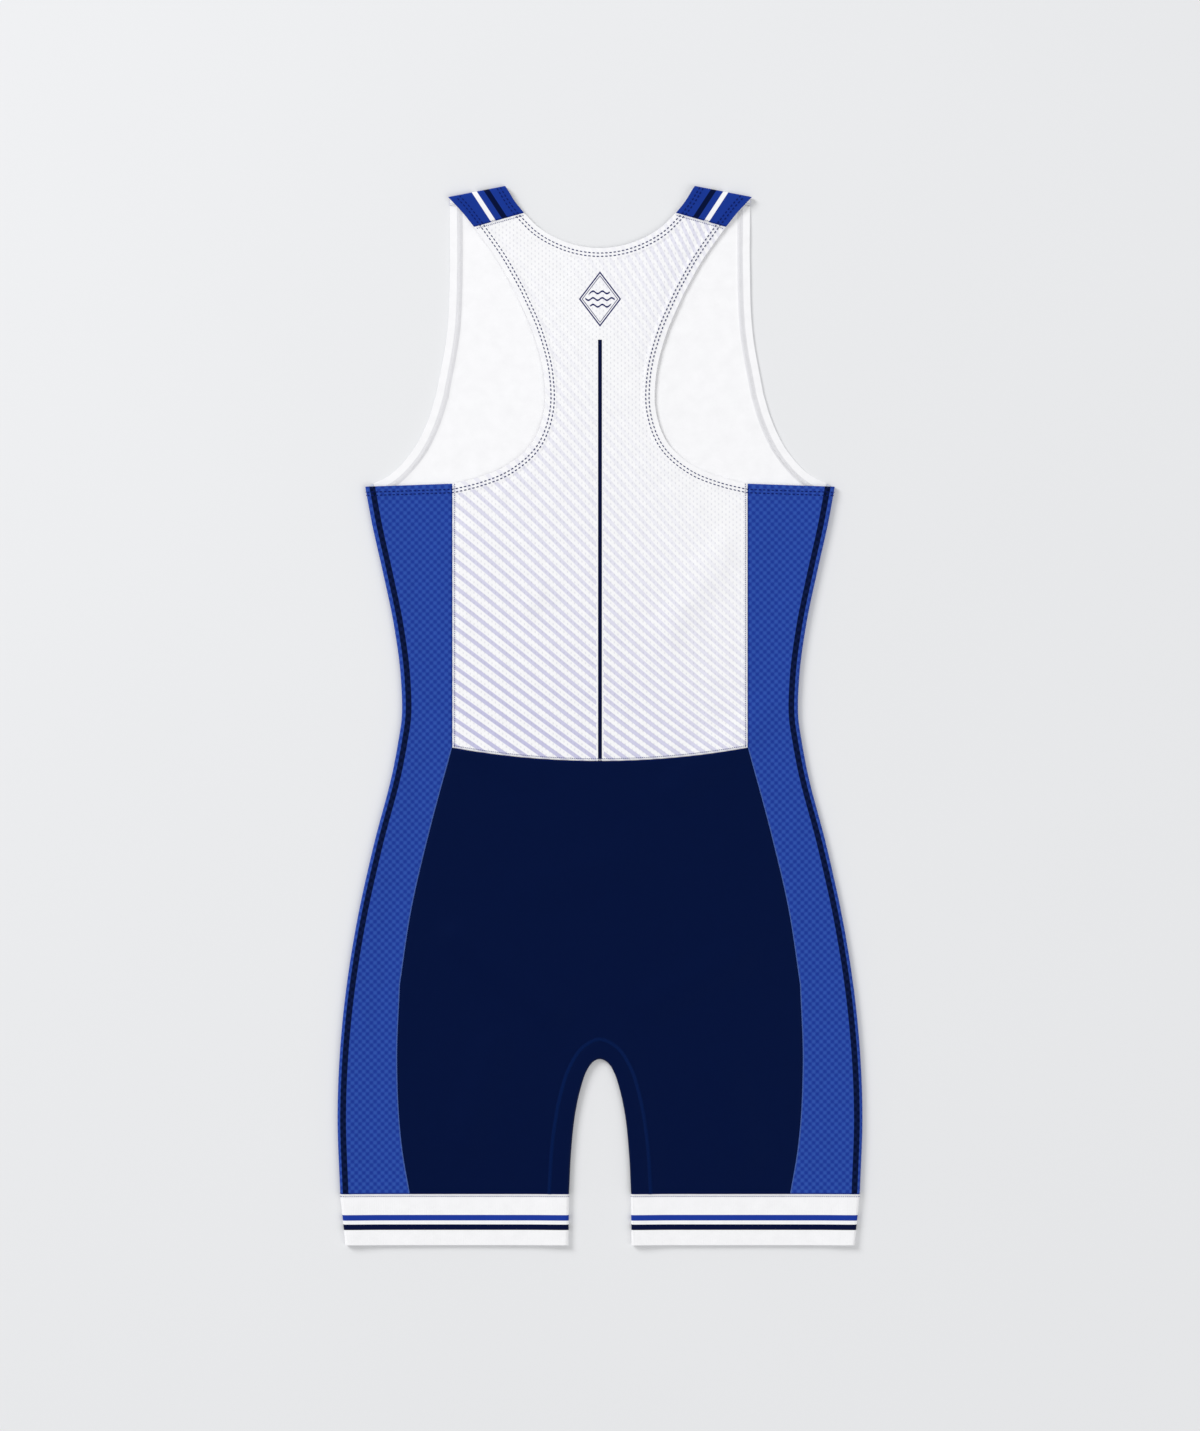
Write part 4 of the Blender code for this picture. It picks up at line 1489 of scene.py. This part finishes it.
def zigzag(line, half_width, pitch):
    """Starts and ends of a looper thread that crosses a seam to and fro."""
    count = int(lengths(line)[-1] / pitch)
    shares = np.linspace(0, 1, 2 * count + 1)
    near = at_shares(beside(line, half_width), shares)
    far = at_shares(beside(line, -half_width), shares)
    points = np.where(np.arange(len(shares))[:, None] % 2 == 0, near, far)
    return points[:-1], points[1:]


def on_cloth(points, edges):
    """Which points are clear of the edges that the cloth has there."""
    clear = np.full(len(points), True)
    for line, hand in edges:
        clear &= foot(points, line)[1] * hand > EDGE_MARGIN
    return clear


def gathered(rows, edges=BACK_EDGES):
    """Several rows of threads, without those that would leave the cloth, on both sides."""
    starts = np.vstack([row[0] for row in rows])
    ends = np.vstack([row[1] for row in rows])
    kept = on_cloth(starts, edges) & on_cloth(ends, edges)
    starts, ends = starts[kept], ends[kept]
    return np.vstack([starts, to_side(starts, -1)]), np.vstack([ends, to_side(ends, -1)])


# %% [markdown]
# Thread is a little smoother than knit. The group below gives the fine light and dark of twisted
# fibres, and each colour of thread is one simple material that uses it. The dark threads have
# little gloss, so that they stay dark under the lamps.

# %% Thread materials
TWIST_SCALE = 900.0
TWIST_DETAIL = 2.0
THREAD_DARKEST = 0.78
THREAD_ROUGHNESS = 0.5
THREAD_GLOSS = 0.2


def twist_group():
    shade, given, made = new_group("thread_twist", {"Scale": TWIST_SCALE}, ["Twist"])
    place = shade.put("ShaderNodeTexCoord")
    twist = shade.noise(place.outputs["Object"], given["Scale"], TWIST_DETAIL)
    shade.feed(made["Twist"], twist)
    return shade.tree


TWIST_GROUP = twist_group()


def thread_material(name, colour, gloss=THREAD_GLOSS):
    material = bpy.data.materials.new(name)
    material.use_nodes = True
    shade = Shade(material.node_tree)
    shader = material.node_tree.nodes["Principled BSDF"]
    shader.inputs["Roughness"].default_value = THREAD_ROUGHNESS
    shader.inputs["Specular IOR Level"].default_value = gloss
    twist = shade.group(TWIST_GROUP)["Twist"]
    darker = (*(channel * THREAD_DARKEST for channel in colour[:3]), 1.0)
    shade.feed(shader.inputs["Base Color"], shade.mix(twist, darker, colour))
    print(f"{name}: {len(material.node_tree.nodes)} nodes")
    return material


SLATE_THREAD = thread_material("slate_thread", light(36, 48, 106), gloss=0.05)
GREY_BLUE_THREAD = thread_material("grey_blue_thread", light(92, 100, 146), gloss=0.1)
WHITE_THREAD = thread_material("white_thread", WHITE)
DARK_BLUE_THREAD = thread_material("dark_blue_thread", light(12, 31, 108), gloss=0.05)
PALE_BLUE_THREAD = thread_material("pale_blue_thread", light(92, 122, 188))
DEEP_NAVY_THREAD = thread_material("deep_navy_thread", light(10, 33, 86), gloss=0.02)

# %% [markdown]
# ## Twin-needle hems
# The two rows lie a presser foot's width in from the edge, all round the neck and the armholes and
# over the shoulder and side folds. The thread is slate on the white mesh. On the blue pieces it
# matches the cloth, and shows only as a darker line.

# %% Hem stitches
STITCH_PITCH = 3.8
STITCH = 2.65
STITCH_RADIUS = 0.46
NECK_ROWS = (4.5, 7.5)
ARM_ROWS = (5.1, 8.1)
OVER_FOLD = 3.0
HAIRBREADTH = 0.0001

neck_hem = longer(BACK_HEMS[0], HAIRBREADTH, OVER_FOLD)
arm_hem = longer(BACK_HEMS[1], OVER_FOLD, OVER_FOLD)
hem_rows = [dashes(beside(neck_hem, -inset), STITCH_PITCH, STITCH) for inset in NECK_ROWS]
hem_rows += [dashes(beside(arm_hem, inset), STITCH_PITCH, STITCH) for inset in ARM_ROWS]


def on_blue(starts):
    """Which stitches start on the side panels or the shoulder pieces."""
    beyond_strap_seam = foot(mirrored(starts), curve("strap seam"))[1] > 0
    return beyond_strap_seam | (np.abs(starts[:, 0]) > WAIST_SIDE.across)


hem_starts, hem_ends = gathered(hem_rows)
blue = on_blue(hem_starts)
hem_stitches = threads(
    "hem_stitches", hem_starts[~blue], hem_ends[~blue], laid, STITCH_RADIUS, SLATE_THREAD
)
blue_stitches = threads(
    "blue_hem_stitches", hem_starts[blue], hem_ends[blue], laid, STITCH_RADIUS, DARK_BLUE_THREAD
)

# %% [markdown]
# ## Flatlock seams
# On the white side of each seam the looper thread is nearly white, and a row of grey-blue needle
# stitches runs beyond it. On the hips it is pale blue, and round the gusset nearly as dark as the
# navy cloth, so that these seams show only as fine raised lines.

# %% Seam threads
LOOPER_MIDDLE = 0.95
LOOPER_HALF = 0.7
LOOPER_PITCH = 1.3
LOOPER_RADIUS = 0.22
NEEDLE_LINE = 2.1
NEEDLE_PITCH = 1.7
NEEDLE_STITCH = 1.15
NEEDLE_RADIUS = 0.34
DARK_LINE = -0.8
HIP_LINE = 0.7
HIP_HALF = 0.45
GUSSET_SEAM_HALF = 2.1
GUSSET_SEAM_PITCH = 1.1
GUSSET_SEAM_RADIUS = 0.3

over_band_seam = longer(curve("band seam"), OVER_FOLD, OVER_FOLD)
WHITE_TO_LEFT = [curve("back side seam"), WAIST_SEAM, curve("strap seam")[::-1], over_band_seam[::-1]]
loopers = [zigzag(beside(line, LOOPER_MIDDLE), LOOPER_HALF, LOOPER_PITCH) for line in WHITE_TO_LEFT]
looper_threads = threads(
    "flatlock_loopers", *gathered(loopers), laid, LOOPER_RADIUS, WHITE_THREAD
)
needles = [dashes(beside(line, NEEDLE_LINE), NEEDLE_PITCH, NEEDLE_STITCH) for line in WHITE_TO_LEFT]
needle_threads = threads(
    "flatlock_needles", *gathered(needles), laid, NEEDLE_RADIUS, GREY_BLUE_THREAD
)
dark_rows = [dashes(beside(line, DARK_LINE), NEEDLE_PITCH, NEEDLE_STITCH) for line in WHITE_TO_LEFT]
dark_threads = threads(
    "flatlock_dark_needles", *gathered(dark_rows), laid, NEEDLE_RADIUS, DARK_BLUE_THREAD
)
hip_line = beside(joined("thigh seam", "hip seam"), -HIP_LINE)
hip_rows = [zigzag(hip_line, HIP_HALF, LOOPER_PITCH)]
hip_threads = threads(
    "hip_seam_threads", *gathered(hip_rows), laid, LOOPER_RADIUS, PALE_BLUE_THREAD
)
gusset_rows = [zigzag(curve("gusset seam"), GUSSET_SEAM_HALF, GUSSET_SEAM_PITCH)]
gusset_threads = threads(
    "gusset_seam_threads", *gathered(gusset_rows), laid, GUSSET_SEAM_RADIUS, DEEP_NAVY_THREAD
)

# %% [markdown]
# ## Inside of the front
# A twin-needle hem shows its looper side on the inside of the cloth: a pale ladder of threads that
# covers the raw edge. It is seen on the front layer, through the arm openings. The front strap
# seam shows its white looper there too, beside the shoulder.

# %% Looper band
LADDER_PITCH = 1.6
LADDER_RADIUS = 0.15
LADDER_ROWS = (-2.2, 0.0, 2.2)

ladder_line = beside(FRONT_HEMS[1], LOOPER_BAND_MIDDLE)
inside_rows = [zigzag(ladder_line, LADDER_ROWS[-1], LADDER_PITCH)]
for shift in LADDER_ROWS:
    inside_rows.append(dashes(beside(ladder_line, shift), LADDER_PITCH, LADDER_PITCH))
strap_inside = beside(curve("front strap seam"), -LOOPER_MIDDLE)
inside_rows.append(zigzag(strap_inside, LOOPER_HALF, LOOPER_PITCH))
inside_threads = threads(
    "inside_looper_threads",
    *gathered(inside_rows, FRONT_EDGES),
    laid_inside,
    LADDER_RADIUS,
    WHITE_THREAD,
)

# %% [markdown]
# ## The shells in place of the solids
# Each shell replaces its solid. Each row below also names a finish and the piece that it lies on.
# The shells and their sewing ride on the same body.

# %% Replace the solids
Dress = namedtuple("Dress", "piece node finish lies_on sewing")
Sewing = namedtuple("Sewing", "piece finish")
DRESSED = [
    Dress(back_yoke, "back_yoke", "white_mesh", front_yoke.name, [
        Sewing(hem_stitches, "navy_lycra"),
        Sewing(looper_threads, "white_mesh"),
        Sewing(needle_threads, "white_mesh"),
    ]),
    Dress(front_yoke, "front_yoke", "white_lining_side", "floor", [
        Sewing(inside_threads, "white_lining_side"),
    ]),
    Dress(back_shorts, "back_shorts", "navy_lycra", front_shorts.name, [
        Sewing(hip_threads, "blue_mesh"),
        Sewing(gusset_threads, "navy_lycra"),
        Sewing(dark_threads, "navy_lycra"),
    ]),
    Dress(front_shorts, "front_shorts", "navy_lycra", "floor", []),
    Dress(gusset, "gusset", "navy_lycra", "floor", []),
    Dress(side_panels["left"], "side_panel_left", "blue_mesh", "floor", []),
    Dress(side_panels["right"], "side_panel_right", "blue_mesh", "floor", []),
    Dress(shoulders["left"], "shoulder_left", "strap_blue", "floor", [
        Sewing(blue_stitches, "strap_blue"),
    ]),
    Dress(shoulders["right"], "shoulder_right", "strap_blue", "floor", []),
    Dress(leg_bands["left"], "leg_band_left", "band_white", "floor", []),
    Dress(leg_bands["right"], "leg_band_right", "band_white", "floor", []),
]
for dress in DRESSED:
    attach(dress.piece, "root")
    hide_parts(dress.node)
    for part in dress.sewing:
        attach(part.piece, "root")
print("cloth area", round(sum(size[2] for size in cut_sizes.values()), 3), "square metres")

# %% [markdown]
# ## Table, light and camera
# The table is pale and plain. A broad lamp from the upper left models the ridges and hems, and a
# weaker one and the sky fill the shadows. The camera looks straight down through a long lens, as
# the suit is shown straight on. Its distance is worked out from the height of the view.

# %% Table
FLOOR_HALF = 15.0
FLOOR_DROP = 0.2
FLOOR_TONES = (light(233, 234, 236), light(236, 237, 239))
FLOOR_ROUGHNESS = 0.9
FLOOR_GLOSS = 0.2
FLOOR_MOTTLE_SCALE = 2.0
FLOOR_MOTTLE_DETAIL = 2.0


def floor_material():
    material = bpy.data.materials.new("pale_floor")
    material.use_nodes = True
    shade = Shade(material.node_tree)
    shader = material.node_tree.nodes["Principled BSDF"]
    shader.inputs["Roughness"].default_value = FLOOR_ROUGHNESS
    shader.inputs["Specular IOR Level"].default_value = FLOOR_GLOSS
    place = shade.put("ShaderNodeTexCoord")
    uneven = shade.noise(place.outputs["Object"], FLOOR_MOTTLE_SCALE, FLOOR_MOTTLE_DETAIL)
    shade.feed(shader.inputs["Base Color"], shade.mix(uneven, *FLOOR_TONES))
    return material


floor_data = bpy.data.meshes.new("floor")
floor_corners = [(-1, -1, 0), (1, -1, 0), (1, 1, 0), (-1, 1, 0)]
floor_data.from_pydata([Vector(c) * FLOOR_HALF for c in floor_corners], [], [(0, 1, 2, 3)])
floor_data.materials.append(floor_material())
floor = placed("floor", floor_data)
floor.location.z = -FLOOR_DROP * MM
print("the table is", 2 * FLOOR_HALF, "m square")

# %% Light
SKY = 0.5
Lamp = namedtuple("Lamp", "name place size energy")
LAMPS = [
    Lamp("key", (-4.8, 3.8, 3.8), 2.8, 330.0),
    Lamp("fill", (4.5, -2.6, 5.0), 5.0, 138.0),
]
scene = bpy.context.scene
scene.view_settings.view_transform = "Standard"
world = bpy.data.worlds.new("studio")
world.use_nodes = True
sky = world.node_tree.nodes["Background"]
sky.inputs["Color"].default_value = (1.0, 1.0, 1.0, 1.0)
sky.inputs["Strength"].default_value = SKY
scene.world = world
for lamp in LAMPS:
    data = bpy.data.lights.new(lamp.name, "AREA")
    data.size = lamp.size
    data.energy = lamp.energy
    shine = placed(lamp.name, data)
    shine.location = lamp.place
    shine.rotation_euler = (-Vector(lamp.place)).to_track_quat("-Z", "Y").to_euler()
    print(f"{lamp.name} lamp: {Vector(lamp.place).length:.1f} m away, {lamp.energy:.0f} W")

# %% Camera
PICTURE_HEIGHT = 1431
MM_PER_PIXEL = 0.9
LENS = 100.0
SENSOR = 36.0
view_height = PICTURE_HEIGHT * MM_PER_PIXEL * MM
camera_data = bpy.data.cameras.new("camera")
camera_data.lens = LENS
camera_data.sensor_width = SENSOR
camera_data.clip_end = 100.0
camera = placed("camera", camera_data)
camera.location = (0.0, 0.0, view_height * LENS / SENSOR + solid_box[1].z)
scene.camera = camera
print("camera", round(camera.location.z, 3), "m above the table")
